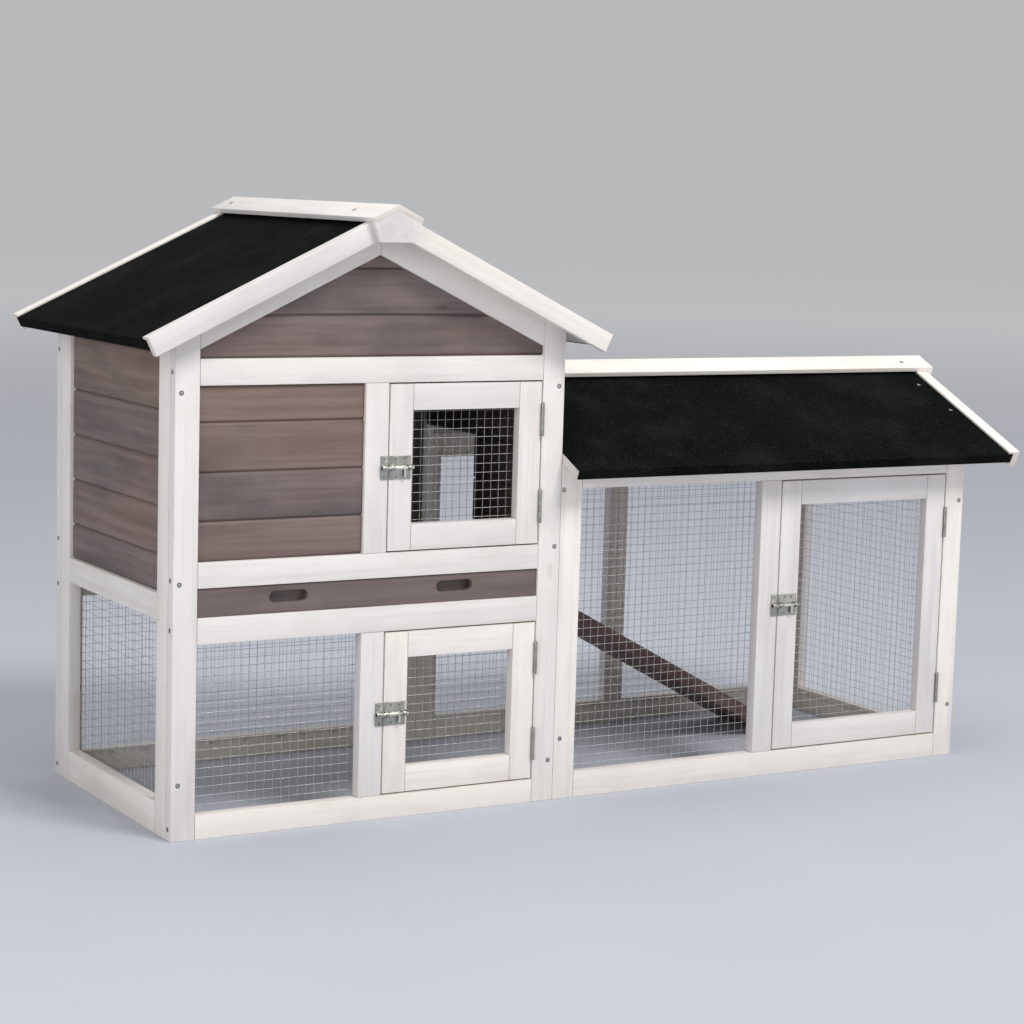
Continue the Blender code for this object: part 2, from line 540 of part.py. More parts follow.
def add_door(prefix, x0, x1, z0, z1, latch_rise, hinge_low, hinge_high):
    """A framed mesh door with two butt hinges at its right edge and a sliding bolt at its left.

    The latch's height is from the middle of the opening, and the hinges' from its two ends.
    """
    door0, door1 = x0 + DOOR_GAP, x1 - HINGE_GAP
    low, high = z0 + DOOR_GAP, z1 - DOOR_GAP
    pin = (x1 - HINGE_GAP / 2, -KNUCKLE_OUT)
    pivot = (*pin, (low + high) / 2)
    empty = pivot_empty(f"{prefix}_pivot", pivot)
    latch_z = (z0 + z1) / 2 + latch_rise
    keep(f"{prefix}_frame", prism("Y", rect(door0, door1, low, high), 0, DOOR_T, [
        rect(door0 + DOOR_STILE, door1 - DOOR_STILE, low + DOOR_RAIL, high - DOOR_RAIL)]),
        "white_timber", pivot, empty)
    keep(f"{prefix}_mesh", prism("Y", rect(
        door0 + DOOR_STILE - MESH_LAP, door1 - DOOR_STILE + MESH_LAP,
        low + DOOR_RAIL - MESH_LAP, high - DOOR_RAIL + MESH_LAP),
        DOOR_T + FIT, DOOR_T + FIT + MESH_T), "wire_mesh", pivot, empty)

    third = HINGE_LEN / 3
    for word, z in (("low", z0 + hinge_low), ("high", z1 - hinge_high)):
        base = z - HINGE_LEN / 2
        wall_leaf = [rod("Z", *pin, PIN_R, base + 0.002, base + HINGE_LEN - 0.002, 12),
                     box(x1 - FIT - LEAF_T, x1 - FIT, 0, LEAF_W, base, base + HINGE_LEN)]
        for start, stop in ((base, base + third - FIT), (base + 2 * third + FIT, base + HINGE_LEN)):
            wall_leaf.append(rod("Z", *pin, KNUCKLE_R, start, stop))
            wall_leaf.append(box(x1 - FIT - LEAF_T, x1 - FIT, -KNUCKLE_OUT, 0.001, start + 1e-4, stop - 1e-4))
        keep(f"{prefix}_hinge_{word}_wall_leaf", combine(wall_leaf), "zinc")
        door_leaf = [prism("Z", circle(*pin, KNUCKLE_R), base + third, base + 2 * third,
                           [circle(*pin, PIN_R + PIN_CLEAR, 12)]),
                     box(door1 + FIT, door1 + FIT + LEAF_T, 0, LEAF_W, base, base + HINGE_LEN),
                     box(door1 + FIT, door1 + FIT + LEAF_T, -KNUCKLE_OUT + PIN_R + PIN_CLEAR + 0.0004, 0.001,
                         base + third + 1e-4, base + 2 * third - 1e-4)]
        keep(f"{prefix}_hinge_{word}_door_leaf", combine(door_leaf), "zinc", pivot, empty)

    section, hole = guide_section(latch_z, 0.1)
    keep(f"{prefix}_keeper", prism("X", section, x0 - 0.0005 - KEEPER_W, x0 - 0.0005, [hole]), "zinc")
    plate0 = door0 + 0.0003
    plate1 = plate0 + DOOR_PLATE_W
    guides = [prism("X", section, a, a + GUIDE_W, [hole]) for a in (plate0, plate1 - GUIDE_W)]
    bridge = box(plate0 + GUIDE_W - 0.0005, plate1 - GUIDE_W + 0.0005, -FIT - LATCH_PLATE_T, -FIT,
                 latch_z - LATCH_H / 2 + 0.0004, latch_z + LATCH_H / 2 - 0.0004)
    keep(f"{prefix}_latch_plate", combine([guides[0], bridge, guides[1]]), "zinc", pivot, empty)
    tail = plate1 + BOLT_TAIL
    knob_x = tail - KNOB_FROM_TAIL
    keep(f"{prefix}_bolt", combine([
        rod("X", -BOLT_OUT, latch_z, BOLT_R, x0 + 0.0003, tail),
        rod("Z", knob_x, -BOLT_OUT, KNOB_R, latch_z - KNOB_LEN, latch_z, 16)]), "zinc", pivot, empty)


add_door("upper_door", *door_x, UPPER_LOW, UPPER_TOP, 0.0005, 0.056, 0.056)
add_door("lower_door", *door_x, BOTTOM_RAIL, LOWER_TOP, -0.0005, 0.0535, 0.0535)
add_door("run_door", *run_door_x, RUN_BOTTOM_RAIL, RUN_BAY_TOP, 0.0175, 0.0755, 0.0775)


# ---------------------------------------------------------------- tray
def finger_slot(x, z):
    half, end = SLOT_W / 2 - SLOT_H / 2, SLOT_H / 2
    right = [(x + half + end * math.cos(t), z + end * math.sin(t))
             for t in (math.pi * (i / 8 - 0.5) for i in range(9))]
    left = [(x - half - end * math.cos(t), z - end * math.sin(t))
            for t in (math.pi * (i / 8 - 0.5) for i in range(9))]
    return right + left


tray_x0, tray_x1 = STILE + TRAY_SIDE_CLEAR, HOUSE_W - STILE - TRAY_SIDE_CLEAR
tray_low = SLOT_LOW + TRAY_LIFT
tray_high = SLOT_TOP - TRAY_TOP_CLEAR
front_y0, front_y1 = TRAY_SET, TRAY_SET + TRAY_FRONT_T
pan_y1 = SIDE_Y1 - TRAY_BACK_CLEAR
pan_top = tray_low + TRAY_PAN_H
slot_z = tray_low + SLOT_RISE
tray_pivot = ((tray_x0 + tray_x1) / 2, front_y0, tray_low)
keep("tray_front", prism("Y", rect(tray_x0, tray_x1, tray_low, tray_high), front_y0, front_y1, [
    finger_slot(tray_x0 + SLOT_FROM_EDGE, slot_z), finger_slot(tray_x1 - SLOT_FROM_EDGE, slot_z)]),
    "taupe_tray", tray_pivot)
keep("tray_pan", cut_by(
    box(tray_x0 + 0.002, tray_x1 - 0.002, front_y1 + FIT, pan_y1, tray_low, pan_top),
    box(tray_x0 + 0.002 + TRAY_WALL, tray_x1 - 0.002 - TRAY_WALL, front_y1 + FIT + TRAY_WALL,
        pan_y1 - TRAY_WALL, tray_low + TRAY_FLOOR, pan_top + 0.01)), "taupe_tray", tray_pivot)

# ---------------------------------------------------------------- ramp
turn = math.radians(RAMP_ANGLE)
along = Vector((math.cos(turn), 0, -math.sin(turn)))
square = Vector((math.sin(turn), 0, math.cos(turn)))
pivot = Vector((HOUSE_W + RAMP_CLEAR, RAMP_FRONT + RAMP_W / 2, RAMP_TOP))


def ramp_point(run, rise):
    point = pivot + along * run + square * rise
    return point.x, point.z


ramp_len = (RAMP_TOP - RAMP_T / 2 * math.cos(turn)) / math.sin(turn)
profile = [ramp_point(0, -RAMP_T / 2), ramp_point(ramp_len, -RAMP_T / 2)]
profile += [(profile[1][0] + RAMP_T * 0.45, profile[1][1]), ramp_point(ramp_len + RAMP_T * 0.4, RAMP_T / 2)]
profile += [ramp_point(0, RAMP_T / 2)] + [
    ramp_point(-RAMP_T / 2 * math.sin(t), RAMP_T / 2 * math.cos(t))
    for t in (math.pi * i / 6 for i in range(1, 6))]
ramp = [prism("Y", profile, RAMP_FRONT, RAMP_FRONT + RAMP_W)]
for i in range(CLEAT_COUNT):
    start = ramp_len * (i + 0.6) / CLEAT_COUNT
    cleat = [ramp_point(start, RAMP_T / 2 - 0.001), ramp_point(start + CLEAT_W, RAMP_T / 2 - 0.001),
             ramp_point(start + CLEAT_W, RAMP_T / 2 + CLEAT_H), ramp_point(start, RAMP_T / 2 + CLEAT_H)]
    ramp.append(prism("Y", cleat, RAMP_FRONT + CLEAT_SET, RAMP_FRONT + RAMP_W - CLEAT_SET))
keep("ramp", combine(ramp), "red_brown_ramp", pivot)
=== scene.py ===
"""Looks for the two-storey rabbit hutch: whitewashed fir, taupe boards, felt, welded wire and zinc."""

import json
import math
import random

import bmesh
import bpy
from mathutils import Matrix, Vector

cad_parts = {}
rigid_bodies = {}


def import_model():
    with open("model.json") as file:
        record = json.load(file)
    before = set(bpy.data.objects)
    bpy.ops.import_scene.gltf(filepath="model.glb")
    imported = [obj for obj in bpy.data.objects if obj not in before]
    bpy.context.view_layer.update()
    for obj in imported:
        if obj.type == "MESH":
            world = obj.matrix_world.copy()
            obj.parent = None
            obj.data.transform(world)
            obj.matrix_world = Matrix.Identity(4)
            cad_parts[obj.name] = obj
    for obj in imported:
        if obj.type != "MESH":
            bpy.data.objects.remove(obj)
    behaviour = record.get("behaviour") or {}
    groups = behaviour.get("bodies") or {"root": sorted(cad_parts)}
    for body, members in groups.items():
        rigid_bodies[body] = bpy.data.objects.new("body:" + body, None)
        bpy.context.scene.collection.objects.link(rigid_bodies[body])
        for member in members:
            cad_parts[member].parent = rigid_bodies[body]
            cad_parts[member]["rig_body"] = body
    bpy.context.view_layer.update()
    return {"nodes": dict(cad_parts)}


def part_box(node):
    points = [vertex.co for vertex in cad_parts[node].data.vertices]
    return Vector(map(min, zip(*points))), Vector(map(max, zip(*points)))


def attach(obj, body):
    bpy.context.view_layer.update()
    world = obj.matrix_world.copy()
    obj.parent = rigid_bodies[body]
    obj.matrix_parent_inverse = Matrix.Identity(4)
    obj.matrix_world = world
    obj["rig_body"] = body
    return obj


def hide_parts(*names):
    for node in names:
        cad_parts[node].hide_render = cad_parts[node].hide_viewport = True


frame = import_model()
nodes = frame["nodes"]
rng = random.Random(11)

DOORS = ("upper_door", "lower_door", "run_door")
EASE = 0.0011            # eased arris of a planed length
FRAME_T = 0.018          # thickness of the wall frames
JOINT = 0.00015          # hairline between two lengths
BOARD_CHAMFER = 0.0031   # each side of the V between two boards
GABLE_LEVEL = 0.5        # bays that start lower than this are between the stiles
WIRE_PITCH = 0.0127
WIRE_R = 0.00031
WIRE_INSET = 0.0005      # wire panel's edge inside its sheet's
CAP_SCREW_OUT = 0.020    # ridge cap's screws from the ridge line
PLATE_FACE = 0.0013      # latch plates' face in front of the frame's
SCREW_INSET = 0.0042     # latch screws from the plate's edge
STAPLE_MARGIN = 0.004
STAPLE_STEP = 0.055
FLOOR = 60.0             # half the floor's side
HOUSE_PITCH = math.radians(25.6)
RUN_PITCH = math.radians(24.5)
RAMP_ANGLE = math.radians(28.4)


# ================================================================ shader groups
def new_group(name, inputs, outputs):
    """An empty shader group with named sockets: (name, kind, default)."""
    tree = bpy.data.node_groups.new(name, "ShaderNodeTree")
    for direction, sockets in (("INPUT", inputs), ("OUTPUT", outputs)):
        for label, kind, *default in sockets:
            socket = tree.interface.new_socket(label, in_out=direction, socket_type=f"NodeSocket{kind}")
            if default:
                socket.default_value = default[0]
    return tree, tree.nodes.new("NodeGroupInput").outputs, tree.nodes.new("NodeGroupOutput").inputs


class Wiring:
    """Short ways to place and join the nodes of one tree."""

    def __init__(self, tree):
        self.tree = tree

    def node(self, kind, settings=None, **inputs):
        made = self.tree.nodes.new(kind)
        for key, value in (settings or {}).items():
            setattr(made, key, value)
        for key, value in inputs.items():
            self.feed(made.inputs[key.replace("_", " ")], value)
        return made

    def feed(self, socket, value):
        if isinstance(value, bpy.types.NodeSocket):
            self.tree.links.new(value, socket)
        else:
            socket.default_value = value

    def math(self, operation, a, b=0.0, c=0.0, clamp=False):
        made = self.tree.nodes.new("ShaderNodeMath")
        made.operation, made.use_clamp = operation, clamp
        for socket, value in zip(made.inputs, (a, b, c)):
            self.feed(socket, value)
        return made.outputs[0]

    def mix(self, factor, a, b, blend="MIX"):
        made = self.tree.nodes.new("ShaderNodeMix")
        made.data_type, made.blend_type = "RGBA", blend
        self.feed(made.inputs[0], factor)
        self.feed(made.inputs[6], a)
        self.feed(made.inputs[7], b)
        return made.outputs[2]

    def noise(self, vector, scale, detail=3.0, roughness=0.55, distortion=0.0):
        return self.node("ShaderNodeTexNoise", Vector=vector, Scale=scale, Detail=detail,
                         Roughness=roughness, Distortion=distortion).outputs["Fac"]

    def ramp(self, value, low, high, to_low=0.0, to_high=1.0):
        made = self.tree.nodes.new("ShaderNodeMapRange")
        made.interpolation_type = "SMOOTHSTEP"
        for socket, item in zip(made.inputs, (value, low, high, to_low, to_high)):
            self.feed(socket, item)
        return made.outputs[0]

    def stretch(self, vector, scale):
        return self.node("ShaderNodeMapping", Vector=vector, Scale=scale).outputs[0]


def build_fir_grain():
    """Grain, knots and end grain of sawn fir. Along is metres, with its X down the length."""
    tree, given, out = new_group("fir_grain", [
        ("Along", "Vector"), ("Shade", "Float", 0.5)],
        [(label, "Float") for label in ("Streaks", "Pores", "Knots", "Clouds", "Height")])
    w = Wiring(tree)
    lot = w.math("MULTIPLY", given["Shade"], 37.0)
    sideways = w.math("MULTIPLY", given["Shade"], 11.0)
    offset = w.node("ShaderNodeCombineXYZ", X=lot, Y=sideways, Z=lot).outputs[0]
    place = w.node("ShaderNodeVectorMath", {"operation": "ADD"})
    w.feed(place.inputs[0], given["Along"])
    w.feed(place.inputs[1], offset)
    place = place.outputs[0]
    bend = w.noise(w.stretch(place, (5.0, 14.0, 14.0)), 1.0, 2.0)
    bent = w.node("ShaderNodeVectorMath", {"operation": "MULTIPLY_ADD"})
    w.feed(bent.inputs[0], w.node("ShaderNodeCombineXYZ", X=0.0, Y=bend, Z=bend).outputs[0])
    bent.inputs[1].default_value = (0.0, 0.010, 0.010)
    w.feed(bent.inputs[2], place)
    bent = bent.outputs[0]
    streaks = w.noise(w.stretch(bent, (2.6, 95.0, 95.0)), 1.0, 4.0, 0.6)
    pores = w.noise(w.stretch(bent, (22.0, 900.0, 900.0)), 1.0, 2.0, 0.5)
    knots = w.node("ShaderNodeTexVoronoi", {"feature": "F1"}, Vector=w.stretch(bent, (6.0, 13.0, 13.0)),
                   Scale=1.0, Randomness=1.0).outputs["Distance"]
    clouds = w.noise(w.stretch(place, (4.0, 20.0, 20.0)), 1.0, 3.0)
    w.feed(out["Streaks"], streaks)
    w.feed(out["Pores"], pores)
    w.feed(out["Knots"], w.ramp(knots, 0.10, 0.035))
    w.feed(out["Clouds"], clouds)
    w.feed(out["Height"], w.math("ADD", w.math("MULTIPLY", streaks, 0.7), w.math("MULTIPLY", pores, 0.3)))
    return tree


def build_edge_wear_and_shade():
    """Mask along the edges of a length, from its own coordinates and half sizes, broken up by noise: rubbed
    arrises, and on the taupe boards painted shade along the V joints.
    """
    tree, given, out = new_group("edge_wear_and_shade", [
        ("Local", "Vector"), ("Half", "Vector"), ("Width", "Float", 0.002), ("Breakup", "Float", 60.0)],
        [("Mask", "Float"), ("End", "Float")])
    w = Wiring(tree)
    gap = []
    local = w.node("ShaderNodeSeparateXYZ", Vector=given["Local"]).outputs
    half = w.node("ShaderNodeSeparateXYZ", Vector=given["Half"]).outputs
    for a, b in zip(local, half):
        gap.append(w.math("SUBTRACT", b, w.math("ABSOLUTE", a)))
    low = w.math("MINIMUM", gap[0], gap[1])
    high = w.math("MAXIMUM", gap[0], gap[1])
    nearest_edge = w.math("MAXIMUM", low, w.math("MINIMUM", high, gap[2]))
    breakup = w.noise(given["Local"], given["Breakup"], 4.0, 0.65)
    reach = w.math("MULTIPLY", given["Width"], w.ramp(breakup, 0.35, 0.75))
    w.feed(out["Mask"], w.ramp(w.math("DIVIDE", nearest_edge, w.math("ADD", reach, 0.00005)), 1.0, 0.3))
    w.feed(out["End"], w.ramp(gap[0], 0.0006, 0.0001))
    return tree


def build_dust():
    """Soft uneven dust or weathering over everything, from object coordinates."""
    tree, given, out = new_group("settled_dust", [
        ("Place", "Vector"), ("Amount", "Float", 0.3), ("Low", "Float", 0.12)], [("Mask", "Float")])
    w = Wiring(tree)
    cloud = w.ramp(w.noise(given["Place"], 9.0, 5.0, 0.6), 0.42, 0.72)
    speck = w.ramp(w.noise(given["Place"], 260.0, 2.0, 0.5), 0.5, 0.8)
    height = w.node("ShaderNodeSeparateXYZ", Vector=given["Place"]).outputs["Z"]
    near_ground = w.ramp(height, given["Low"], 0.0)
    total = w.math("ADD", w.math("MULTIPLY", cloud, 0.6), w.math("MULTIPLY", speck, 0.25))
    total = w.math("MULTIPLY", w.math("ADD", total, w.math("MULTIPLY", near_ground, 0.5)), given["Amount"])
    w.feed(out["Mask"], w.math("MINIMUM", total, 1.0))
    return tree


FIR_GRAIN = build_fir_grain()
EDGE_WEAR_AND_SHADE = build_edge_wear_and_shade()
SETTLED_DUST = build_dust()


# ================================================================ materials
def new_material(name, roughness=0.6, metallic=0.0):
    material = bpy.data.materials.new(name)
    material.use_nodes = True
    shader = material.node_tree.nodes["Principled BSDF"]
    shader.inputs["Roughness"].default_value = roughness
    shader.inputs["Metallic"].default_value = metallic
    return material, Wiring(material.node_tree), shader.inputs


def group(w, tree, **inputs):
    return w.node("ShaderNodeGroup", {"node_tree": tree}, **inputs).outputs


def attribute(w, name, output="Vector"):
    return w.node("ShaderNodeAttribute", {"attribute_name": name}).outputs[output]


def bump(w, height, distance, strength=1.0, normal=None):
    made = w.node("ShaderNodeBump", Height=height, Strength=strength, Distance=distance)
    if normal:
        w.feed(made.inputs["Normal"], normal)
    return made.outputs[0]


def finished_timber(name, pale, mid, dark, bare_and_shade, streak_reach, knot, wear_and_shade_width, dust_colour, rough, relief,
                    cloud=0.55, edge=0.45, tints=((0.90, 0.90, 0.93), (1.06, 1.05, 1.02))):
    """A length of fir under a wash or stain: streaky colour, knots, arrises mixed toward an edge colour and a
    little dirt. On the wash the arrises show rubbed paint; on the taupe boards their dark lines are painted
    shade of the V joints.

    tints are what the darkest and the palest length of a panel multiply their colour by.
    """
    material, w, shader = new_material(name, rough)
    along = attribute(w, "along")
    shade = attribute(w, "shade", "Fac")
    place = w.node("ShaderNodeTexCoord").outputs["Object"]
    grain = group(w, FIR_GRAIN, Along=along, Shade=shade)
    worn_and_shaded = group(w, EDGE_WEAR_AND_SHADE, Local=along, Half=attribute(w, "half"), Width=wear_and_shade_width)
    dust = group(w, SETTLED_DUST, Place=place, Amount=0.35)
    colour = w.mix(w.ramp(grain["Streaks"], *streak_reach), pale, mid)
    colour = w.mix(w.ramp(grain["Clouds"], 0.45, 0.75, 0.0, cloud), colour, dark)
    colour = w.mix(w.ramp(grain["Pores"], 0.56, 0.80, 0.0, 0.35), colour, dark)
    red, green, blue = (w.ramp(shade, 0.0, 1.0, low, high) for low, high in zip(*tints))
    tone = w.node("ShaderNodeCombineXYZ", X=red, Y=green, Z=blue).outputs[0]
    colour = w.mix(1.0, colour, tone, "MULTIPLY")
    colour = w.mix(w.math("MULTIPLY", grain["Knots"], knot), colour, bare_and_shade)
    # arrises mixed toward the edge colour: rubbed paint on the wash, painted shade of the V joints on the
    # taupe boards
    colour = w.mix(w.math("MULTIPLY", worn_and_shaded["Mask"], edge), colour, bare_and_shade)
    colour = w.mix(w.math("MULTIPLY", worn_and_shaded["End"], 0.35), colour, bare_and_shade)
    colour = w.mix(dust["Mask"], colour, dust_colour)
    w.feed(shader["Base Color"], colour)
    w.feed(shader["Roughness"], w.ramp(grain["Streaks"], 0.3, 0.7, rough - 0.08, rough + 0.10))
    w.feed(shader["Normal"], bump(w, grain["Height"], relief, 0.55))
    return material


WHITEWASH = finished_timber(
    "whitewashed_fir", (0.850, 0.815, 0.775, 1), (0.785, 0.735, 0.695, 1), (0.660, 0.620, 0.595, 1),
    (0.560, 0.450, 0.330, 1), (0.46, 0.70), 0.30, 0.0016, (0.62, 0.57, 0.50, 1), 0.58, 0.0004)
# darker, warmer copy of the wash for faces turned into the building: painted shade and warm bounce light
INSIDE_SHADE_WASH = finished_timber(
    "inside_painted_shade_wash", (0.750, 0.705, 0.610, 1), (0.670, 0.620, 0.520, 1), (0.550, 0.500, 0.420, 1),
    (0.520, 0.420, 0.300, 1), (0.42, 0.70), 0.45, 0.0016, (0.55, 0.50, 0.43, 1), 0.64, 0.0005)
# near-black edge colour and a strong, wide edge mix: painted shade in the V joints between the boards
TAUPE = finished_timber(
    "taupe_stained_fir", (0.215, 0.150, 0.133, 1), (0.168, 0.110, 0.096, 1), (0.092, 0.073, 0.064, 1),
    (0.060, 0.036, 0.030, 1), (0.35, 0.66), 0.75, 0.0022, (0.24, 0.21, 0.19, 1), 0.60, 0.0006,
    cloud=0.85, edge=0.75, tints=((0.88, 0.93, 0.99), (1.08, 1.03, 0.94)))
TRAY_STAIN = finished_timber(
    "taupe_stained_tray", (0.158, 0.120, 0.110, 1), (0.128, 0.096, 0.088, 1), (0.090, 0.068, 0.062, 1),
    (0.070, 0.045, 0.038, 1), (0.38, 0.70), 0.25, 0.0010, (0.22, 0.19, 0.17, 1), 0.52, 0.0003)
RAMP_STAIN = finished_timber(
    "brown_stained_ramp", (0.150, 0.080, 0.064, 1), (0.105, 0.052, 0.042, 1), (0.060, 0.032, 0.027, 1),
    (0.050, 0.026, 0.020, 1), (0.35, 0.66), 0.6, 0.0014, (0.26, 0.20, 0.16, 1), 0.62, 0.0006)


def build_felt():
    material, w, shader = new_material("mineral_roof_felt", 0.92)
    place = w.node("ShaderNodeTexCoord").outputs["Object"]
    fine = w.node("ShaderNodeTexVoronoi", {"feature": "F1"}, Vector=place, Scale=950.0).outputs
    grit = w.noise(place, 620.0, 3.0, 0.7)
    patch = w.noise(place, 14.0, 4.0, 0.6)
    colour = w.mix(w.ramp(grit, 0.35, 0.72), (0.0006, 0.0014, 0.0010, 1), (0.0036, 0.0058, 0.0050, 1))
    colour = w.mix(w.ramp(patch, 0.40, 0.75, 0.0, 0.5), colour, (0.0026, 0.0038, 0.0034, 1))
    sparkle = w.ramp(w.node("ShaderNodeSeparateColor", Color=fine["Color"]).outputs[0], 0.93, 0.99)
    colour = w.mix(w.math("MULTIPLY", sparkle, 0.5), colour, (0.060, 0.066, 0.060, 1))
    dust = group(w, SETTLED_DUST, Place=place, Amount=0.05)
    w.feed(shader["Base Color"], w.mix(dust["Mask"], colour, (0.20, 0.19, 0.17, 1)))
    relief = w.math("ADD", w.math("MULTIPLY", grit, 0.6), w.math("MULTIPLY", fine["Distance"], 0.5))
    w.feed(shader["Normal"], bump(w, relief, 0.0009, 0.8))
    shader["Specular IOR Level"].default_value = 0.05
    return material


def build_metal(name, colour, dull, tarnish, roughness, spangle, relief):
    """Zinc or galvanised steel: spangled roughness, dull patches and a fine skin of scratches."""
    material, w, shader = new_material(name, roughness, 1.0)
    place = w.node("ShaderNodeTexCoord").outputs["Object"]
    crystals = w.node("ShaderNodeTexVoronoi", {"feature": "F1"}, Vector=place, Scale=spangle).outputs
    tint = w.node("ShaderNodeSeparateColor", Color=crystals["Color"]).outputs[0]
    scratch = w.noise(w.stretch(place, (3.0, 3.0, 40.0)), 120.0, 3.0)
    cloud = w.noise(place, 85.0, 3.0)
    shown = w.mix(w.ramp(tint, 0.0, 1.0, 0.0, 0.6), colour, dull)
    shown = w.mix(w.ramp(cloud, 0.50, 0.72, 0.0, 0.7), shown, tarnish)
    w.feed(shader["Base Color"], shown)
    rough = w.math("ADD", w.ramp(tint, 0.0, 1.0, roughness - 0.07, roughness + 0.10),
                   w.math("MULTIPLY", scratch, 0.08))
    w.feed(shader["Roughness"], rough)
    w.feed(shader["Normal"], bump(w, scratch, relief, 0.4))
    return material


FELT = build_felt()
ZINC = build_metal(
    "zinc_plate", (0.46, 0.46, 0.42, 1), (0.30, 0.30, 0.27, 1), (0.26, 0.24, 0.18, 1), 0.30, 900.0, 5e-5)
BRIGHT_ZINC = build_metal(
    "bright_zinc_rod", (0.78, 0.77, 0.72, 1), (0.62, 0.61, 0.56, 1), (0.40, 0.38, 0.30, 1),
    0.22, 1200.0, 3e-5)
GALVANISED = build_metal(
    "galvanised_wire", (0.58, 0.59, 0.59, 1), (0.45, 0.46, 0.47, 1), (0.38, 0.39, 0.39, 1), 0.56, 500.0, 3e-5)
SCREW_STEEL = build_metal(
    "screw_steel", (0.30, 0.30, 0.30, 1), (0.21, 0.21, 0.21, 1), (0.17, 0.155, 0.13, 1), 0.38, 1500.0, 4e-5)


def build_socket_dark():
    """Painted shade in a screw's cross recess: near black, with a little noise."""
    material, w, shader = new_material("cross_recess", 0.8)
    place = w.node("ShaderNodeTexCoord").outputs["Object"]
    recess_shade = w.mix(w.noise(place, 1800.0), (0.02, 0.018, 0.016, 1), (0.06, 0.055, 0.05, 1))
    w.feed(shader["Base Color"], recess_shade)
    return material


RECESS_DARK = build_socket_dark()


# ================================================================ lengths of timber
def add_attributes(mesh, pieces):
    """Write each point's own coordinates, half sizes and shade. pieces: one (along, half, shade) a vertex."""
    for name, kind in (("along", "FLOAT_VECTOR"), ("half", "FLOAT_VECTOR"), ("shade", "FLOAT")):
        mesh.attributes.new(name, kind, "POINT")
    mesh.attributes["along"].data.foreach_set("vector", [c for p in pieces for c in p[0]])
    mesh.attributes["half"].data.foreach_set("vector", [c for p in pieces for c in p[1]])
    mesh.attributes["shade"].data.foreach_set("value", [p[2] for p in pieces])


def grain_axes(direction, face):
    """Unit axes with X down the grain, Z out of the wider face."""
    x = Vector(direction).normalized()
    z = Vector(face).normalized()
    y = z.cross(x).normalized()
    return x, y, x.cross(y)


def outline_prism(outline, low, high, plane):
    """Extrude a convex outline between two levels. plane turns (a, b, level) into a point."""
    bm = bmesh.new()
    lower = [bm.verts.new(plane(a, b, low)) for a, b in outline]
    upper = [bm.verts.new(plane(a, b, high)) for a, b in outline]
    bm.faces.new(lower)
    bm.faces.new(upper)
    for i in range(len(outline)):
        j = (i + 1) % len(outline)
        bm.faces.new((lower[i], lower[j], upper[j], upper[i]))
    bmesh.ops.recalc_face_normals(bm, faces=bm.faces[:])
    return bm


def ease(bm, width, sharp=0.3):
    edges = [e for e in bm.edges if len(e.link_faces) == 2 and e.calc_face_angle(0) > sharp]
    bmesh.ops.bevel(bm, geom=edges, offset=width, segments=2, profile=0.6, affect="EDGES", clamp_overlap=True)
    return bm


def timber_object(name, lengths, material, body, stands_for=(), room=None):
    """Join finished lengths [(bmesh, grain direction, face direction)] into one piece on a body.

    room is the direction into the building; faces turned that way get a darker, warmer copy of the wash,
    painted shade and warm bounce light of the inside.
    """
    whole = bmesh.new()
    told = []
    for bm, direction, face in lengths:
        x, y, z = grain_axes(direction, face)
        local = [Vector((v.co.dot(x), v.co.dot(y), v.co.dot(z))) for v in bm.verts]
        low = Vector([min(p[i] for p in local) for i in range(3)])
        high = Vector([max(p[i] for p in local) for i in range(3)])
        middle, half = (low + high) / 2, (high - low) / 2
        shade = rng.random()
        told += [(p - middle, half, shade) for p in local]
        part = bpy.data.meshes.new("length")
        bm.to_mesh(part)
        whole.from_mesh(part)
        bpy.data.meshes.remove(part)
        bm.free()
    mesh = bpy.data.meshes.new(name)
    whole.to_mesh(mesh)
    whole.free()
    add_attributes(mesh, told)
    if room:
        mesh.materials.append(material)
        mesh.materials.append(INSIDE_SHADE_WASH)
        # faces turned into the building take the painted-shade copy of the wash
        for face in mesh.polygons:
            face.material_index = int(face.normal.dot(Vector(room)) > 0.9)
    return settle(name, mesh, material, body, stands_for)


def settle(name, mesh, material, body, stands_for=()):
    """Put a finished mesh in the scene on its body, in place of the CAD nodes it stands for."""
    if material and material.name not in [m.name for m in mesh.materials if m]:
        mesh.materials.append(material)
    obj = bpy.data.objects.new(name, mesh)
    bpy.context.scene.collection.objects.link(obj)
    mesh.shade_smooth()
    mesh.set_sharp_from_angle(angle=math.radians(35))
    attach(obj, body)
    if stands_for:
        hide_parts(*stands_for)
    return obj


def body_of(node):
    return nodes[node]["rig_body"]


def merged_copy(node):
    """A CAD node as a bmesh with welded corners and its flat faces whole."""
    bm = bmesh.new()
    bm.from_mesh(nodes[node].data)
    bmesh.ops.remove_doubles(bm, verts=bm.verts[:], dist=1e-5)
    bmesh.ops.dissolve_limit(bm, angle_limit=math.radians(0.6), verts=bm.verts[:], edges=bm.edges[:])
    bmesh.ops.recalc_face_normals(bm, faces=bm.faces[:])
    return bm


def eased_copy(node, direction, face, material):
    """A CAD node with its arrises eased, as one length of timber."""
    bm = ease(merged_copy(node), EASE)
    bmesh.ops.triangulate(bm, faces=[f for f in bm.faces if len(f.verts) > 8])
    return timber_object(f"{node}_timber", [(bm, direction, face)], material, body_of(node), [node])


# ---------------------------------------------------------------- frames, from the boxes of the CAD nodes
def bar(low, high, direction, face):
    """One straight length between two corners."""
    (x0, y0, z0), (x1, y1, z1) = low, high
    bm = outline_prism([(x0, y0), (x1, y0), (x1, y1), (x0, y1)], z0, z1, lambda a, b, c: (a, b, c))
    return ease(bm, EASE), direction, face


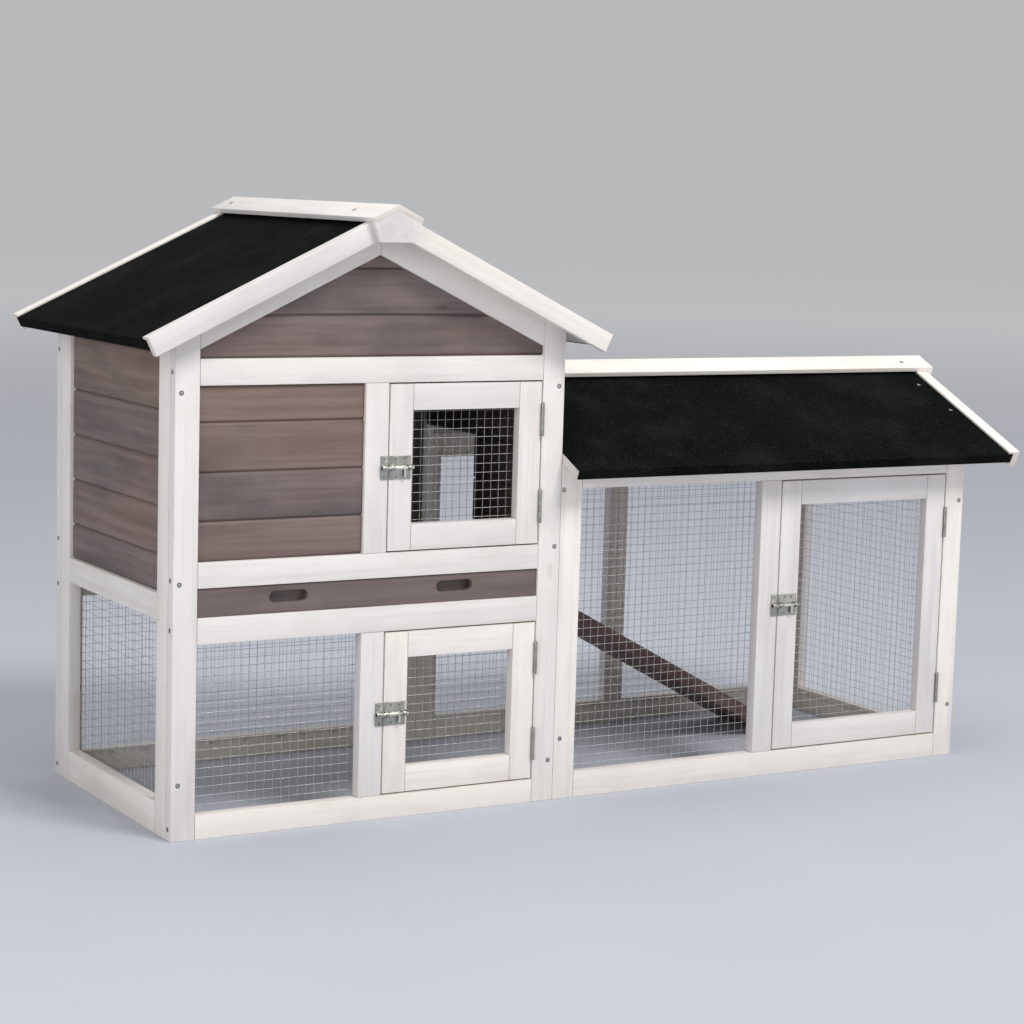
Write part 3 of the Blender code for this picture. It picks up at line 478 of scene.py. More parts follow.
def slab_outlines(node, axis, outer):
    """The loops of a flat CAD frame's show face, as (a, b) points in its plane, the widest first."""
    bm = merged_copy(node)
    kept = [i for i in range(3) if i != axis]
    levels = [v.co[axis] for v in bm.verts]
    level = min(levels) if outer == "low" else max(levels)
    links = {}
    for edge in bm.edges:
        if all(abs(v.co[axis] - level) < 1e-5 for v in edge.verts) and edge.calc_face_angle(0) > 1.0:
            for v in edge.verts:
                links.setdefault(v, []).append(edge)
    loops, seen = [], set()
    for start in links:
        loop, at = [], start
        while at is not None and at not in seen:
            seen.add(at)
            loop.append((at.co[kept[0]], at.co[kept[1]]))
            at = next((e.other_vert(at) for e in links[at] if e.other_vert(at) not in seen), None)
        if len(loop) > 2:
            loops.append(loop)
    bm.free()
    return sorted(loops, key=lambda loop: -(bay(loop)[1] - bay(loop)[0]) * (bay(loop)[3] - bay(loop)[2]))


def spans(values):
    return min(values), max(values)


def bay(loop):
    a = spans([p[0] for p in loop])
    b = spans([p[1] for p in loop])
    return a[0], a[1], b[0], b[1]




def flat_frame(node, axis, outer, extra=()):
    """Build a CAD frame again from its real lengths: full-height stiles, rails between them, mullions,
    and rafters where it has a gable. axis is its thickness; outer is "low" or "high", its show face."""
    loops = slab_outlines(node, axis, outer)
    low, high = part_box(node)
    thick = extra or (low[axis], high[axis])

    def plane(a, b, c):
        return (c, a, b) if axis == 0 else (a, c, b)

    across = (0, 1, 0) if axis == 0 else (1, 0, 0)
    up = (0, 0, 1)
    face = (1, 0, 0) if axis == 0 else (0, 1, 0)
    lengths = []

    def length(outline, direction):
        clean = [p for i, p in enumerate(outline) if math.dist(p, outline[i - 1]) > 1e-5]
        lengths.append((ease(outline_prism(clean, *thick, plane), EASE), direction, face))

    outline, holes = loops[0], loops[1:]
    a0, a1, b0, b1 = bay(outline)
    middle = (a0 + a1) / 2
    straight = [h for h in holes if len(h) == 4 and bay(h)[3] - bay(h)[2] > 0.02]
    gable = [h for h in holes if len(h) != 4]
    bays = sorted(map(bay, straight))
    walled = [h for h in map(bay, holes) if h[2] < GABLE_LEVEL]
    inner0, inner1 = min(h[0] for h in walled), max(h[1] for h in walled)
    rows = sorted({(round(h[2], 4), round(h[3], 4)) for h in bays})
    shoulder = sorted(p[1] for p in outline)[2] if len(outline) == 5 else b1
    slope = (b1 - shoulder) / (middle - a0)

    def top(a):
        return shoulder + (middle - abs(a - middle) - a0) * slope

    for x0, x1 in ((a0, inner0), (inner1, a1)):
        gap0, gap1 = (0, JOINT) if x0 == a0 else (JOINT, 0)
        length([(x0 + gap0, b0), (x1 - gap1, b0), (x1 - gap1, top(x1)), (x0 + gap0, top(x0))], up)
    ends = inner0 + JOINT, inner1 - JOINT
    edges = [b0] + [level for row in rows for level in row]
    edges.append(min(p[1] for p in gable[0]) if gable else b1)
    for z0, z1 in zip(edges[::2], edges[1::2]):
        length([(ends[0], z0), (ends[1], z0), (ends[1], z1), (ends[0], z1)], across)
    for z0, z1 in rows:
        line = [h for h in bays if abs(h[2] - z0) < 1e-3]
        for one, other in zip(line, line[1:]):
            length([(one[1], z0 + JOINT), (other[0], z0 + JOINT),
                    (other[0], z1 - JOINT), (one[1], z1 - JOINT)], up)
    if gable:
        hole = gable[0]
        peak = max(p[1] for p in hole)
        left = [p for p in hole if p[0] < middle - 1e-3]
        corner = max(left, key=lambda p: (round(p[1], 4), -p[0]))
        for sign in (-1, 1):
            foot = [(inner0 + JOINT, corner[1])]
            if corner[0] > inner0 + 1e-3:
                foot.append(corner)
            rafter = foot + [(middle - JOINT, peak), (middle - JOINT, top(middle)),
                             (inner0 + JOINT, top(inner0))]
            rafter = [(middle + sign * (middle - a), b) for a, b in rafter]
            run = Vector(plane(-sign, slope, 0)) if sign > 0 else Vector(plane(1, slope, 0))
            length(rafter if sign < 0 else rafter[::-1], run)
    return lengths


def runner_length(node, axis_sign):
    """The strip inside a side frame that the tray slides on."""
    low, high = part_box(node)
    reach = FRAME_T + 0.0001
    inner = low.x + reach if axis_sign > 0 else high.x - reach
    strip = [v.co for v in nodes[node].data.vertices if (v.co.x - inner) * axis_sign > 0.001]
    x0, x1 = (inner, high.x) if axis_sign > 0 else (low.x, inner)
    return bar((x0, min(v.y for v in strip), min(v.z for v in strip)),
               (x1, max(v.y for v in strip), max(v.z for v in strip)), (0, 1, 0), (0, 0, 1))


for node, axis, outer in (
        ("house_front_frame", 1, "low"), ("house_back_frame", 1, "high"),
        ("run_front_frame", 1, "low"), ("run_back_frame", 1, "high"), ("run_end_frame", 0, "high"),
        ("upper_door_frame", 1, "low"), ("lower_door_frame", 1, "low"), ("run_door_frame", 1, "low")):
    room = [0, 0, 0]
    room[axis] = 1 if outer == "low" else -1
    timber_object(f"{node}_timber", flat_frame(node, axis, outer), WHITEWASH, body_of(node), [node],
                  room=None if "door" in node else room)
for node, sign in (("house_left_frame", 1), ("house_right_frame", -1)):
    low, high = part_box(node)
    thick = (low.x, low.x + FRAME_T) if sign > 0 else (high.x - FRAME_T, high.x)
    lengths = flat_frame(node, 0, "low" if sign > 0 else "high", thick) + [runner_length(node, sign)]
    timber_object(f"{node}_timber", lengths, WHITEWASH, body_of(node), [node], room=(sign, 0, 0))


# ---------------------------------------------------------------- tongued boards
def groove_levels(node, axis, sign):
    """Heights of the V joints, read from the points that lie at the bottom of each V."""
    low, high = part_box(node)
    outer = low[axis] if sign > 0 else high[axis]
    deep = {round(v.co.z, 4) for v in nodes[node].data.vertices
            if 0.0012 < (v.co[axis] - outer) * sign < 0.0035}
    return sorted(z for z in deep if low.z + 0.004 < z < high.z - 0.004)


def trim(bm, planes):
    """Cut a closed shape back to planes [(point, outward normal)], and close each cut."""
    for point, normal in planes:
        cut = bmesh.ops.bisect_plane(bm, geom=bm.verts[:] + bm.edges[:] + bm.faces[:], plane_co=point,
                                     plane_no=normal, clear_outer=True, dist=1e-6)
        rim = [e for e in cut["geom_cut"] if isinstance(e, bmesh.types.BMEdge)]
        if rim:
            bmesh.ops.holes_fill(bm, edges=rim)


def board_lengths(node, axis, sign, cuts=()):
    """Boards with chamfered long edges, trimmed by planes [(point, outward normal)]."""
    low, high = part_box(node)
    levels = [low.z, *groove_levels(node, axis, sign), high.z]
    d0, d1 = low[axis], high[axis]
    chamfer = BOARD_CHAMFER
    made = []
    for z0, z1 in zip(levels, levels[1:]):
        z0, z1 = z0 + 0.0001, z1 - 0.0001
        profile = [(d0, z0 + chamfer), (d0 + chamfer, z0), (d1 - chamfer, z0), (d1, z0 + chamfer),
                   (d1, z1 - chamfer), (d1 - chamfer, z1), (d0 + chamfer, z1), (d0, z1 - chamfer)]
        if axis == 1:
            bm = outline_prism(profile, low.x, high.x, lambda a, b, c: (c, a, b))
        else:
            bm = outline_prism(profile, low.y, high.y, lambda a, b, c: (a, c, b))
        trim(bm, cuts)
        if len(bm.faces) > 3:
            bmesh.ops.recalc_face_normals(bm, faces=bm.faces[:])
            made.append((ease(bm, 0.0004, 0.5), (1, 0, 0) if axis == 1 else (0, 1, 0),
                         (0, 1, 0) if axis == 1 else (1, 0, 0)))
        else:
            bm.free()
    return made


def gable_cuts(node):
    """The two sloping planes that trim a gable's boards."""
    low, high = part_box(node)
    middle = (low.x + high.x) / 2
    top = Vector((middle, 0, high.z))
    return [(top, Vector((side * math.sin(HOUSE_PITCH), 0, math.cos(HOUSE_PITCH)))) for side in (-1, 1)]


timber_object("house_front_board_wall", board_lengths("house_front_boards", 1, 1), TAUPE, "hutch",
              ["house_front_boards"])
for name, node, sign in (("house_front_gable_boards", "house_front_gable", 1),
                         ("house_back_board_wall", "house_back_boards", -1)):
    timber_object(name, board_lengths(node, 1, sign, gable_cuts(node)), TAUPE, "hutch", [node])
timber_object("house_left_board_wall", board_lengths("house_left_boards", 0, 1), TAUPE, "hutch",
              ["house_left_boards"])


def doorway_boards(node):
    """The right-hand wall: boards stop short at the doorway, and the one over it is notched."""
    low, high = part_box(node)
    inside = [v.co for v in nodes[node].data.vertices if low.y + 0.02 < v.co.y < high.y - 0.02]
    jamb = min(v.y for v in inside)
    head = max(v.z for v in inside if v.z < high.z - 0.02 and v.y < jamb + 1e-4 and v.z > low.z + 0.1)
    made = []
    for bm, direction, face in board_lengths(node, 0, -1):
        z0, z1 = spans([v.co.z for v in bm.verts])
        parts = [(low.y, jamb, z0, z1)] if z1 < head + 0.004 else [(low.y, high.y, z0, z1)]
        if z0 < head - 0.004 < z1 - 0.004:
            parts = [(low.y, jamb, z0, z1), (jamb, high.y, head, z1)]
        for y0, y1, b0, b1 in parts:
            part = bm.copy()
            trim(part, [((0, y1, 0), (0, 1, 0)), ((0, y0, 0), (0, -1, 0)), ((0, 0, b0), (0, 0, -1))])
            made.append((part, direction, face))
        bm.free()
    return made


timber_object("house_right_board_wall", doorway_boards("house_right_boards"), TAUPE, "hutch",
              ["house_right_boards"])

# ---------------------------------------------------------------- roofs
slope_x = Vector((math.cos(HOUSE_PITCH), 0, math.sin(HOUSE_PITCH)))
slope_y = Vector((0, math.cos(RUN_PITCH), math.sin(RUN_PITCH)))


def mirrored(vector, axis):
    other = vector.copy()
    other[axis] = -other[axis]
    return other


for end in ("front", "back"):
    eased_copy(f"house_barge_{end}_left", slope_x, (0, 1, 0), WHITEWASH)
    eased_copy(f"house_barge_{end}_right", mirrored(slope_x, 0), (0, 1, 0), WHITEWASH)
eased_copy("run_barge_front", slope_y, (1, 0, 0), WHITEWASH)
eased_copy("run_barge_back", mirrored(slope_y, 1), (1, 0, 0), WHITEWASH)
eased_copy("house_ridge_cap", (0, 1, 0), (0, 0, 1), WHITEWASH)
eased_copy("run_ridge_cap", (1, 0, 0), (0, 0, 1), WHITEWASH)
eased_copy("house_roof", (0, 1, 0), (0, 0, 1), WHITEWASH)
eased_copy("run_roof", (1, 0, 0), (0, 0, 1), WHITEWASH)
for node in ("house_felt", "run_felt"):
    bm = ease(merged_copy(node), 0.0012)
    mesh = bpy.data.meshes.new(f"{node}_sheet")
    bm.to_mesh(mesh)
    bm.free()
    settle(f"{node}_sheet", mesh, FELT, "hutch", [node])

# ---------------------------------------------------------------- tray and ramp
eased_copy("tray_front", (1, 0, 0), (0, 1, 0), TRAY_STAIN)
eased_copy("tray_pan", (1, 0, 0), (0, 0, 1), TRAY_STAIN)
eased_copy("ramp", (math.cos(RAMP_ANGLE), 0, -math.sin(RAMP_ANGLE)), (0, 0, 1), RAMP_STAIN)

# ---------------------------------------------------------------- fittings
for door in DOORS:
    for part in ("keeper", "latch_plate", "bolt", "hinge_low_wall_leaf", "hinge_high_wall_leaf",
                 "hinge_low_door_leaf", "hinge_high_door_leaf"):
        node = f"{door}_{part}"
        bm = ease(merged_copy(node), 0.00022, 0.6)
        mesh = bpy.data.meshes.new(f"{node}_zinc")
        bm.to_mesh(mesh)
        bm.free()
        settle(f"{node}_zinc", mesh, BRIGHT_ZINC if part == "bolt" else ZINC, body_of(node), [node])


# ================================================================ repeated pieces in Geometry Nodes
def geometry_tree(name, inputs):
    tree = bpy.data.node_groups.new(name, "GeometryNodeTree")
    tree.interface.new_socket("Geometry", in_out="INPUT", socket_type="NodeSocketGeometry")
    for label, kind, *default in inputs:
        socket = tree.interface.new_socket(label, in_out="INPUT", socket_type=f"NodeSocket{kind}")
        if default:
            socket.default_value = default[0]
    tree.interface.new_socket("Geometry", in_out="OUTPUT", socket_type="NodeSocketGeometry")
    return tree, tree.nodes.new("NodeGroupInput").outputs, tree.nodes.new("NodeGroupOutput").inputs


def finish_tree(w, geometry, material, out):
    whole = w.node("GeometryNodeRealizeInstances", Geometry=geometry).outputs[0]
    w.feed(out["Geometry"], w.node("GeometryNodeSetMaterial", Geometry=whole, Material=material).outputs[0])


def build_welded_wire():
    """Square welded mesh in the XZ plane: upright wires in front, level wires welded behind them."""
    tree, given, out = geometry_tree("welded_wire", [
        ("Width", "Float", 0.2), ("Height", "Float", 0.2), ("Pitch", "Float", WIRE_PITCH),
        ("Wire radius", "Float", WIRE_R), ("Waviness", "Float", 0.0005), ("Sides", "Int", 5),
        ("Seed", "Float", 0.0), ("Material", "Material")])
    w = Wiring(tree)

    def wires(long_side, short_side, along, across, depth):
        count = w.math("ADD", w.math("FLOOR", w.math("DIVIDE", given[short_side], given["Pitch"])), 1.0)
        start = w.math("MULTIPLY", w.math("SUBTRACT", given[short_side], w.math(
            "MULTIPLY", given["Pitch"], w.math("SUBTRACT", count, 1.0))), 0.5)
        steps = w.math("ADD", w.math("CEIL", w.math("DIVIDE", given[long_side], w.math(
            "MULTIPLY", given["Pitch"], 0.5))), 1.0)
        step = w.math("DIVIDE", given[long_side], w.math("SUBTRACT", steps, 1.0))
        start_point = w.node("ShaderNodeCombineXYZ", **{across: start, "Y": depth}).outputs[0]
        spread = w.node("ShaderNodeCombineXYZ", **{across: given["Pitch"]}).outputs[0]
        places = w.node("GeometryNodeMeshLine", Count=count, Start_Location=start_point,
                        Offset=spread).outputs[0]
        run = w.node("ShaderNodeCombineXYZ", **{along: step}).outputs[0]
        one = w.node("GeometryNodeMeshLine", Count=steps, Offset=run).outputs[0]
        placed = w.node("GeometryNodeInstanceOnPoints", Points=places, Instance=one).outputs[0]
        return w.node("GeometryNodeRealizeInstances", Geometry=placed).outputs[0]

    radius = given["Wire radius"]
    both = w.node("GeometryNodeJoinGeometry")
    w.feed(both.inputs[0], wires("Height", "Width", "Z", "X", w.math("MULTIPLY", radius, -0.9)))
    w.feed(both.inputs[0], wires("Width", "Height", "X", "Z", w.math("MULTIPLY", radius, 0.9)))
    place = w.node("GeometryNodeInputPosition").outputs[0]
    wander = w.node("ShaderNodeTexNoise", {"noise_dimensions": "4D"}, Vector=place, W=given["Seed"],
                    Scale=42.0, Detail=1.0).outputs["Color"]
    centred = w.node("ShaderNodeVectorMath", {"operation": "SUBTRACT"})
    w.feed(centred.inputs[0], wander)
    centred.inputs[1].default_value = (0.5, 0.5, 0.5)
    scaled = w.node("ShaderNodeVectorMath", {"operation": "SCALE"}, Vector=centred.outputs[0])
    w.feed(scaled.inputs["Scale"], given["Waviness"])
    moved = w.node("GeometryNodeSetPosition", Geometry=both.outputs[0], Offset=scaled.outputs[0]).outputs[0]
    lines = w.node("GeometryNodeMeshToCurve", Mesh=moved).outputs[0]
    section = w.node("GeometryNodeCurvePrimitiveCircle", Resolution=given["Sides"], Radius=radius).outputs[0]
    tube = w.node("GeometryNodeCurveToMesh", Curve=lines, Profile_Curve=section, Fill_Caps=True).outputs[0]
    finish_tree(w, tube, given["Material"], out)
    return tree


def build_fixings():
    """Heads set on a row of points, each facing its point's own direction and turned at random."""
    tree, given, out = geometry_tree("fixings", [
        ("Head", "Object"), ("Size", "Float", 1.0), ("Turn", "Float", math.pi), ("Seed", "Int", 3),
        ("Material", "Material")])
    w = Wiring(tree)
    head = w.node("GeometryNodeObjectInfo", Object=given["Head"]).outputs["Geometry"]
    facing = w.node("GeometryNodeInputNamedAttribute", {"data_type": "FLOAT_VECTOR"},
                    Name="facing").outputs[0]
    aim = w.node("FunctionNodeAlignRotationToVector", {"axis": "Z"}, Vector=facing).outputs[0]
    angle = w.node("FunctionNodeRandomValue", {"data_type": "FLOAT"})
    w.feed(angle.inputs[2], 0.0)
    w.feed(angle.inputs[3], given["Turn"])
    w.feed(angle.inputs["Seed"], given["Seed"])
    turned = w.node("FunctionNodeRotateRotation", {"rotation_space": "LOCAL"}, Rotation=aim)
    w.feed(turned.inputs["Rotate By"], w.node("FunctionNodeEulerToRotation", Euler=w.node(
        "ShaderNodeCombineXYZ", Z=angle.outputs[1]).outputs[0]).outputs[0])
    placed = w.node("GeometryNodeInstanceOnPoints", Points=given["Geometry"], Instance=head,
                    Rotation=turned.outputs[0], Scale=w.node(
                        "ShaderNodeCombineXYZ", X=given["Size"], Y=given["Size"], Z=given["Size"]).outputs[0])
    whole = w.node("GeometryNodeRealizeInstances", Geometry=placed.outputs[0]).outputs[0]
    # faces with the painted recess shade keep it; the rest take the head's metal
    recess = w.node("GeometryNodeMaterialSelection", Material=RECESS_DARK).outputs[0]
    metal = w.node("FunctionNodeBooleanMath", {"operation": "NOT"})
    w.feed(metal.inputs[0], recess)
    finished = w.node("GeometryNodeSetMaterial", Geometry=whole, Selection=metal.outputs[0],
                      Material=given["Material"]).outputs[0]
    w.feed(out["Geometry"], finished)
    return tree


WELDED_WIRE = build_welded_wire()
FIXINGS = build_fixings()


def run_tree(tree, base, values):
    """Evaluate a tree on a base mesh, and return the plain mesh it makes."""
    host = bpy.data.objects.new("working", base)
    bpy.context.scene.collection.objects.link(host)
    modifier = host.modifiers.new("tree", "NODES")
    modifier.node_group = tree
    for item in tree.interface.items_tree:
        if item.in_out == "INPUT" and item.name in values:
            modifier[item.identifier] = values[item.name]
    graph = bpy.context.evaluated_depsgraph_get()
    made = bpy.data.meshes.new_from_object(host.evaluated_get(graph))
    host.modifiers.remove(modifier)
    bpy.data.objects.remove(host, do_unlink=True)
    return made


def wire_panel(node, seed, trims=()):
    """Welded wire in place of a plain CAD sheet, in the sheet's own plane."""
    low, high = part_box(node)
    size = high - low
    flat_axis = 0 if size.x < size.y else 1
    width = size.y if flat_axis == 0 else size.x
    mesh = run_tree(WELDED_WIRE, bpy.data.meshes.new("base"), {
        "Width": width - 2 * WIRE_INSET, "Height": size.z - 2 * WIRE_INSET, "Pitch": WIRE_PITCH,
        "Wire radius": WIRE_R,
        "Waviness": 0.0006, "Sides": 5, "Seed": float(seed), "Material": GALVANISED})
    centre = (low + high) / 2
    if flat_axis == 1:
        place = Matrix.Translation((low.x + WIRE_INSET, centre.y, low.z + WIRE_INSET))
    else:
        place = Matrix.Translation((centre.x, low.y + WIRE_INSET, low.z + WIRE_INSET))
        place @= Matrix.Rotation(math.pi / 2, 4, "Z")
    mesh.transform(place)
    if trims:
        bm = bmesh.new()
        bm.from_mesh(mesh)
        for point, normal in trims:
            bmesh.ops.bisect_plane(bm, geom=bm.verts[:] + bm.edges[:] + bm.faces[:], plane_co=point,
                                   plane_no=normal, clear_outer=True)
        bm.to_mesh(mesh)
        bm.free()
    settle(f"{node}_wire", mesh, None, body_of(node), [node])


end_low, end_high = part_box("run_end_mesh")
end_trims = [((0, (end_low.y + end_high.y) / 2, end_high.z - 0.001),
              (0, side * math.sin(RUN_PITCH), math.cos(RUN_PITCH))) for side in (-1, 1)]
for seed, node in enumerate(sorted(n for n in nodes if n.endswith("_mesh"))):
    wire_panel(node, seed, end_trims if node == "run_end_mesh" else ())


# ---------------------------------------------------------------- heads
def screw_head(radius=0.0036, depth=0.0007):
    """A countersunk head with a cross recess, facing +Z, its rim flush at z = 0."""
    bm = bmesh.new()
    rings = [(radius, -0.0003), (radius, 0.00005), (radius * 0.86, 0.00028), (radius * 0.5, 0.00038)]
    count = 16
    loops = [[bm.verts.new((r * math.cos(math.tau * i / count), r * math.sin(math.tau * i / count), z))
              for i in range(count)] for r, z in rings]
    for inner, outer in zip(loops[1:], loops):
        for i in range(count):
            j = (i + 1) % count
            bm.faces.new((outer[i], outer[j], inner[j], inner[i]))
    arm, half = radius * 0.46, radius * 0.13
    cross = [(half, half), (half, arm), (-half, arm), (-half, half), (-arm, half), (-arm, -half),
             (-half, -half), (-half, -arm), (half, -arm), (half, -half), (arm, -half), (arm, half)]
    rim = [bm.verts.new((x, y, 0.00038)) for x, y in cross]
    floor = [bm.verts.new((x * 0.8, y * 0.8, 0.00038 - depth)) for x, y in cross]
    # the recess's walls and floor take the second material, painted shade
    for i in range(12):
        j = (i + 1) % 12
        bm.faces.new((rim[i], rim[j], floor[j], floor[i])).material_index = 1
    bm.faces.new(floor).material_index = 1
    edges = [bm.edges.get((loops[-1][i], loops[-1][(i + 1) % count])) for i in range(count)]
    edges += [bm.edges.get((rim[i], rim[(i + 1) % 12])) for i in range(12)]
    bmesh.ops.triangle_fill(bm, use_beauty=True, edges=edges)
    bm.faces.new(loops[0])
    bmesh.ops.recalc_face_normals(bm, faces=bm.faces[:])
    mesh = bpy.data.meshes.new("screw_head")
    bm.to_mesh(mesh)
    bm.free()
    mesh.materials.append(SCREW_STEEL)
    mesh.materials.append(RECESS_DARK)
    return bpy.data.objects.new("screw_head", mesh)


def nail_head(radius=0.0032):
    """A low domed clout nail head."""
    bm = bmesh.new()
    bmesh.ops.create_cone(bm, cap_ends=True, segments=12, radius1=radius, radius2=radius * 0.55, depth=0.0007)
    bmesh.ops.translate(bm, verts=bm.verts[:], vec=(0, 0, 0.0003))
    mesh = bpy.data.meshes.new("nail_head")
    bm.to_mesh(mesh)
    bm.free()
    mesh.materials.append(ZINC)
    return bpy.data.objects.new("nail_head", mesh)


def staple(width=0.008, wire=0.0005):
    """A fine staple crown lying across a wire."""
    bm = bmesh.new()
    end, leg = width / 2, wire * 1.6
    for x0, x1, z0, z1 in ((-end, end, 0.0006, 0.0013), (-end, leg - end, -0.001, 0.0008),
                           (end - leg, end, -0.001, 0.0008)):
        corner = [bm.verts.new((x, y, z)) for x in (x0, x1) for y in (-wire, wire) for z in (z0, z1)]
        bmesh.ops.convex_hull(bm, input=corner)
    mesh = bpy.data.meshes.new("staple")
    bm.to_mesh(mesh)
    bm.free()
    mesh.materials.append(ZINC)
    return bpy.data.objects.new("staple", mesh)


HEADS = {"screw": screw_head(), "small_screw": screw_head(0.0017, 0.0004),
         "nail": nail_head(), "staple": staple()}
for made in HEADS.values():
    bpy.context.scene.collection.objects.link(made)


def set_fixings(name, kind, places, body, turn=math.pi, seed=3):
    """Set heads at places [(point, facing)], as one piece on a body."""
    base = bpy.data.meshes.new("places")
    base.from_pydata([tuple(p) for p, _ in places], [], [])
    base.attributes.new("facing", "FLOAT_VECTOR", "POINT")
    base.attributes["facing"].data.foreach_set("vector", [c for _, f in places for c in f])
    metal = HEADS[kind].data.materials[0]
    mesh = run_tree(FIXINGS, base, {
        "Head": HEADS[kind], "Size": 1.0, "Turn": turn, "Seed": seed, "Material": metal})
    return settle(name, mesh, None, body, ())


# ================================================================ where the fixings go
FRONT, BACK, LEFT, RIGHT = (0, -1, 0), (0, 1, 0), (-1, 0, 0), (1, 0, 0)
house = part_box("house_front_frame")
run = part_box("run_front_frame")
back_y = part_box("house_back_frame")[1].y
front_y = house[0].y
screws = []
for x, z in ((0.0090, 0.607), (0.0090, 0.351), (0.0100, 0.0775),
             (0.5910, 0.607), (0.5910, 0.375), (0.5910, 0.060)):
    screws += [((house[0].x + x, front_y, z), FRONT), ((house[0].x + x, back_y, z), BACK)]
for x, back_x, z in ((0.0045, 0.0100, 0.4567), (0.0100, 0.0100, 0.090),
                     (0.7415, 0.7415, 0.4133), (0.7390, 0.7390, 0.083)):
    screws += [((run[0].x + x, front_y, z), FRONT), ((run[0].x + back_x, back_y, z), BACK)]
left_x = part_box("house_left_frame")[0].x
for z in (0.634, 0.3555, 0.288, 0.0160):
    screws += [((left_x, front_y + 0.0100, z), LEFT), ((left_x, back_y - 0.0090, z), LEFT)]
end_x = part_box("run_end_frame")[1].x
for z in (0.440, 0.250, 0.0200):
    screws += [((end_x, front_y + 0.0090, z), RIGHT), ((end_x, back_y - 0.0090, z), RIGHT)]


def on_slope(node, across, pitch, place, side, out):
    """A point on one slope of a roof piece, out from its ridge, and the direction out of that slope."""
    low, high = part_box(node)
    spot, facing = [place, place, high.z - out * math.tan(pitch)], [0, 0, math.cos(pitch)]
    spot[across] = (low[across] + high[across]) / 2 + side * out
    facing[across] = side * math.sin(pitch)
    return spot, facing


cap_low, cap_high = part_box("house_ridge_cap")
screws += [on_slope("house_ridge_cap", 0, HOUSE_PITCH, y, side, CAP_SCREW_OUT)
           for y in (cap_low.y + 0.095, cap_high.y - 0.035) for side in (-1, 1)]
cap_low, cap_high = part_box("run_ridge_cap")
screws += [on_slope("run_ridge_cap", 1, RUN_PITCH, x, side, CAP_SCREW_OUT)
           for x in (cap_low.x + 0.030, cap_high.x - 0.053) for side in (-1, 1)]
set_fixings("frame_screws", "screw", screws, "hutch")

for door in DOORS:
    plate_low, plate_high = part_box(f"{door}_latch_plate")
    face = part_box(f"{door}_frame")[0].y - PLATE_FACE
    set_fixings(f"{door}_latch_screws", "small_screw", [
        ((x, face, z), FRONT) for x in (plate_low.x + 0.0100, plate_high.x - 0.0100)
        for z in (plate_low.z + SCREW_INSET, plate_high.z - SCREW_INSET)], door)
    keeper_low, keeper_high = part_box(f"{door}_keeper")
    middle = (keeper_low.x + keeper_high.x) / 2
    set_fixings(f"{door}_keeper_screws", "small_screw", [
        ((middle, face, z), FRONT) for z in (keeper_low.z + SCREW_INSET, keeper_high.z - SCREW_INSET)],
        "hutch")

barge_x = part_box("run_barge_front")[0].x
nails = [on_slope("run_felt", 1, RUN_PITCH, x, side, out)
         for side in (-1, 1) for out, x in ((0.066, barge_x - 0.020), (0.142, barge_x - 0.014))]
set_fixings("felt_nails", "nail", nails, "hutch")


def staple_places(node, outward):
    """Staples round the edge of a wire panel, on its inner face."""
    low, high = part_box(node)
    size = high - low
    flat = 0 if size.x < size.y else 1
    depth = (high if outward[flat] > 0 else low)[flat] + 0.0001 * outward[flat]
    wide = 1 - flat
    places = []

    def spot(a, z):
        point = [0, 0, z]
        point[flat], point[wide] = depth, a
        return tuple(point), outward

    def uneven(length):
        count = max(2, round(length / STAPLE_STEP))
        return [i / count + rng.uniform(-0.02, 0.02) for i in range(1, count)]

    edge = STAPLE_MARGIN
    for t in uneven(size[wide]):
        a = low[wide] + edge + t * (size[wide] - 2 * edge)
        places += [spot(a, z) for z in (low.z + edge, high.z - edge)]
    for t in uneven(size.z):
        z = low.z + edge + t * (size.z - 2 * edge)
        places += [spot(a, z) for a in (low[wide] + edge, high[wide] - edge)]
    return places


for body, panels in (
        ("hutch", (("house_front_mesh", BACK), ("house_back_mesh", FRONT), ("house_left_mesh", RIGHT),
                   ("run_front_mesh", BACK), ("run_back_mesh", FRONT))),
        *((door, ((f"{door}_mesh", BACK),)) for door in DOORS)):
    places = [p for node, outward in panels for p in staple_places(node, outward)]
    set_fixings(f"{body}_staples", "staple", places, body, turn=0.5)
for made in HEADS.values():
    bpy.data.objects.remove(made, do_unlink=True)


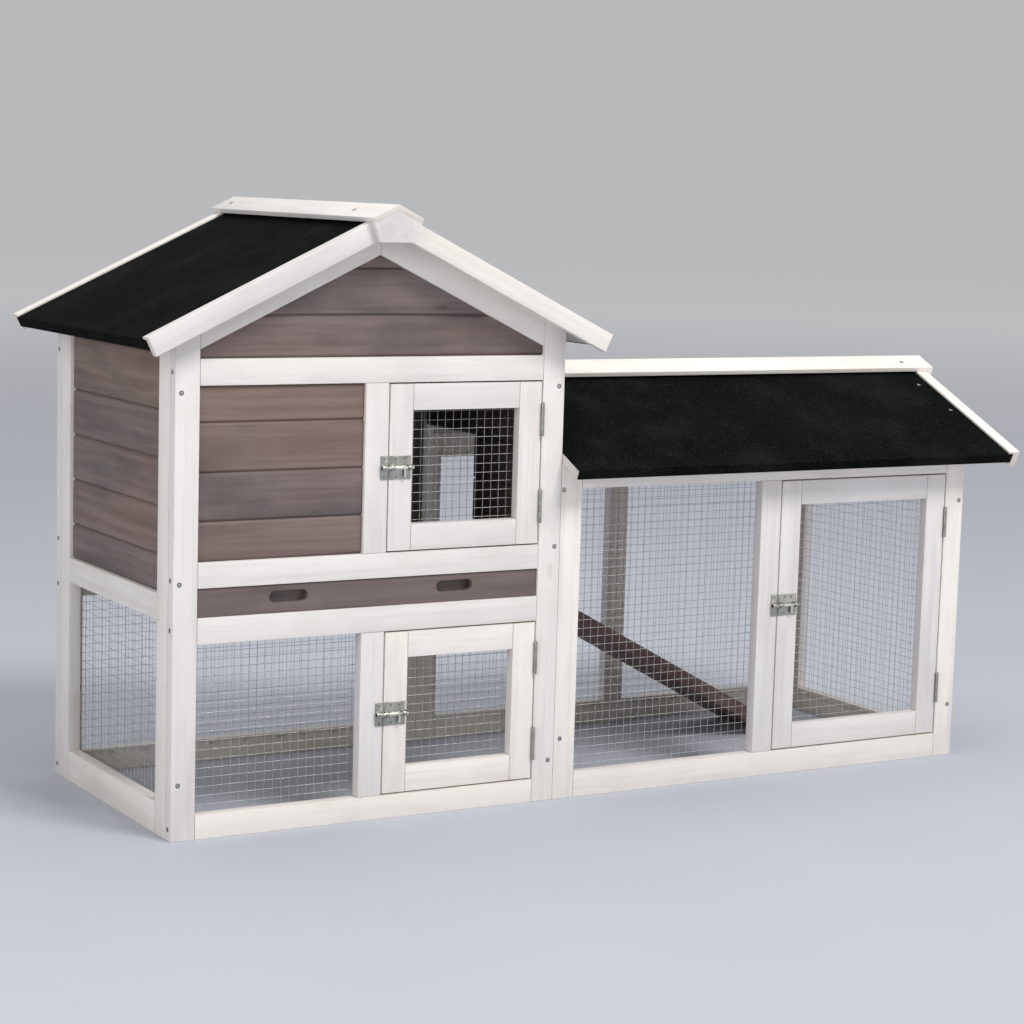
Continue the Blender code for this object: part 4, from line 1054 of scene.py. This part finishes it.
# ================================================================ floor, light and camera
def studio():
    floor = bpy.data.meshes.new("floor")
    corners = [(-FLOOR, -FLOOR, 0), (FLOOR, -FLOOR, 0), (FLOOR, FLOOR, 0), (-FLOOR, FLOOR, 0)]
    floor.from_pydata(corners, [], [(0, 1, 2, 3)])
    material, w, shader = new_material("pale_floor", 0.85)
    place = w.node("ShaderNodeTexCoord").outputs["Object"]
    near = w.mix(w.noise(place, 3.0), (0.48, 0.50, 0.56, 1), (0.51, 0.53, 0.59, 1))
    away = w.node("ShaderNodeVectorMath", {"operation": "LENGTH"}, Vector=place).outputs["Value"]
    w.feed(shader["Base Color"], w.mix(w.ramp(away, 2.0, 15.0), near, (0.99, 0.99, 0.99, 1)))
    floor.materials.append(material)
    obj = bpy.data.objects.new("floor", floor)
    bpy.context.scene.collection.objects.link(obj)

    world = bpy.data.worlds.new("studio")
    bpy.context.scene.world = world
    world.use_nodes = True
    sky = world.node_tree.nodes["Background"]
    sky.inputs["Color"].default_value = (0.965, 0.975, 1.0, 1)
    sky.inputs["Strength"].default_value = 0.50

    for name, place, aim, size, power in (
            ("key", (1.5, -5.0, 6.6), (0.1, 0, 0.3), 2.6, 385),
            ("fill", (-3.6, -1.6, 1.7), (0.0, 0, 0.3), 2.4, 40),
            ("low", (2.3, -3.3, 0.8), (0.4, 0, 0.2), 1.8, 10),
            ("top", (0.0, 0.6, 4.4), (0, 0, 0.3), 2.6, 34)):
        light = bpy.data.lights.new(name, "AREA")
        light.size, light.energy = size, power
        lamp = bpy.data.objects.new(name, light)
        lamp.location = place
        lamp.rotation_euler = (Vector(aim) - Vector(place)).to_track_quat("-Z", "Y").to_euler()
        bpy.context.scene.collection.objects.link(lamp)


def camera():
    """Eye level with the eaves, three quarters from the left, with a long lens."""
    data = bpy.data.cameras.new("view")
    data.lens, data.sensor_width = 89.0, 36.0
    eye = Vector((-1.2954 - 0.68725, -3.0876 - 0.222, 0.8962))
    pitch, roll, yaw = 0.12998, 0.02889, 0.53117
    right = Vector((math.cos(yaw), -math.sin(yaw), 0))
    ahead = Vector((math.sin(yaw), math.cos(yaw), 0))
    up = Vector((0, 0, 1))
    look = math.cos(pitch) * ahead - math.sin(pitch) * up
    lifted = math.sin(pitch) * ahead + math.cos(pitch) * up
    x = math.cos(roll) * right + math.sin(roll) * lifted
    y = -math.sin(roll) * right + math.cos(roll) * lifted
    obj = bpy.data.objects.new("view", data)
    obj.matrix_world = Matrix((
        (x.x, y.x, -look.x, eye.x), (x.y, y.y, -look.y, eye.y), (x.z, y.z, -look.z, eye.z), (0, 0, 0, 1)))
    bpy.context.scene.collection.objects.link(obj)
    bpy.context.scene.camera = obj


studio()
camera()
bpy.context.scene.view_settings.view_transform = "Standard"
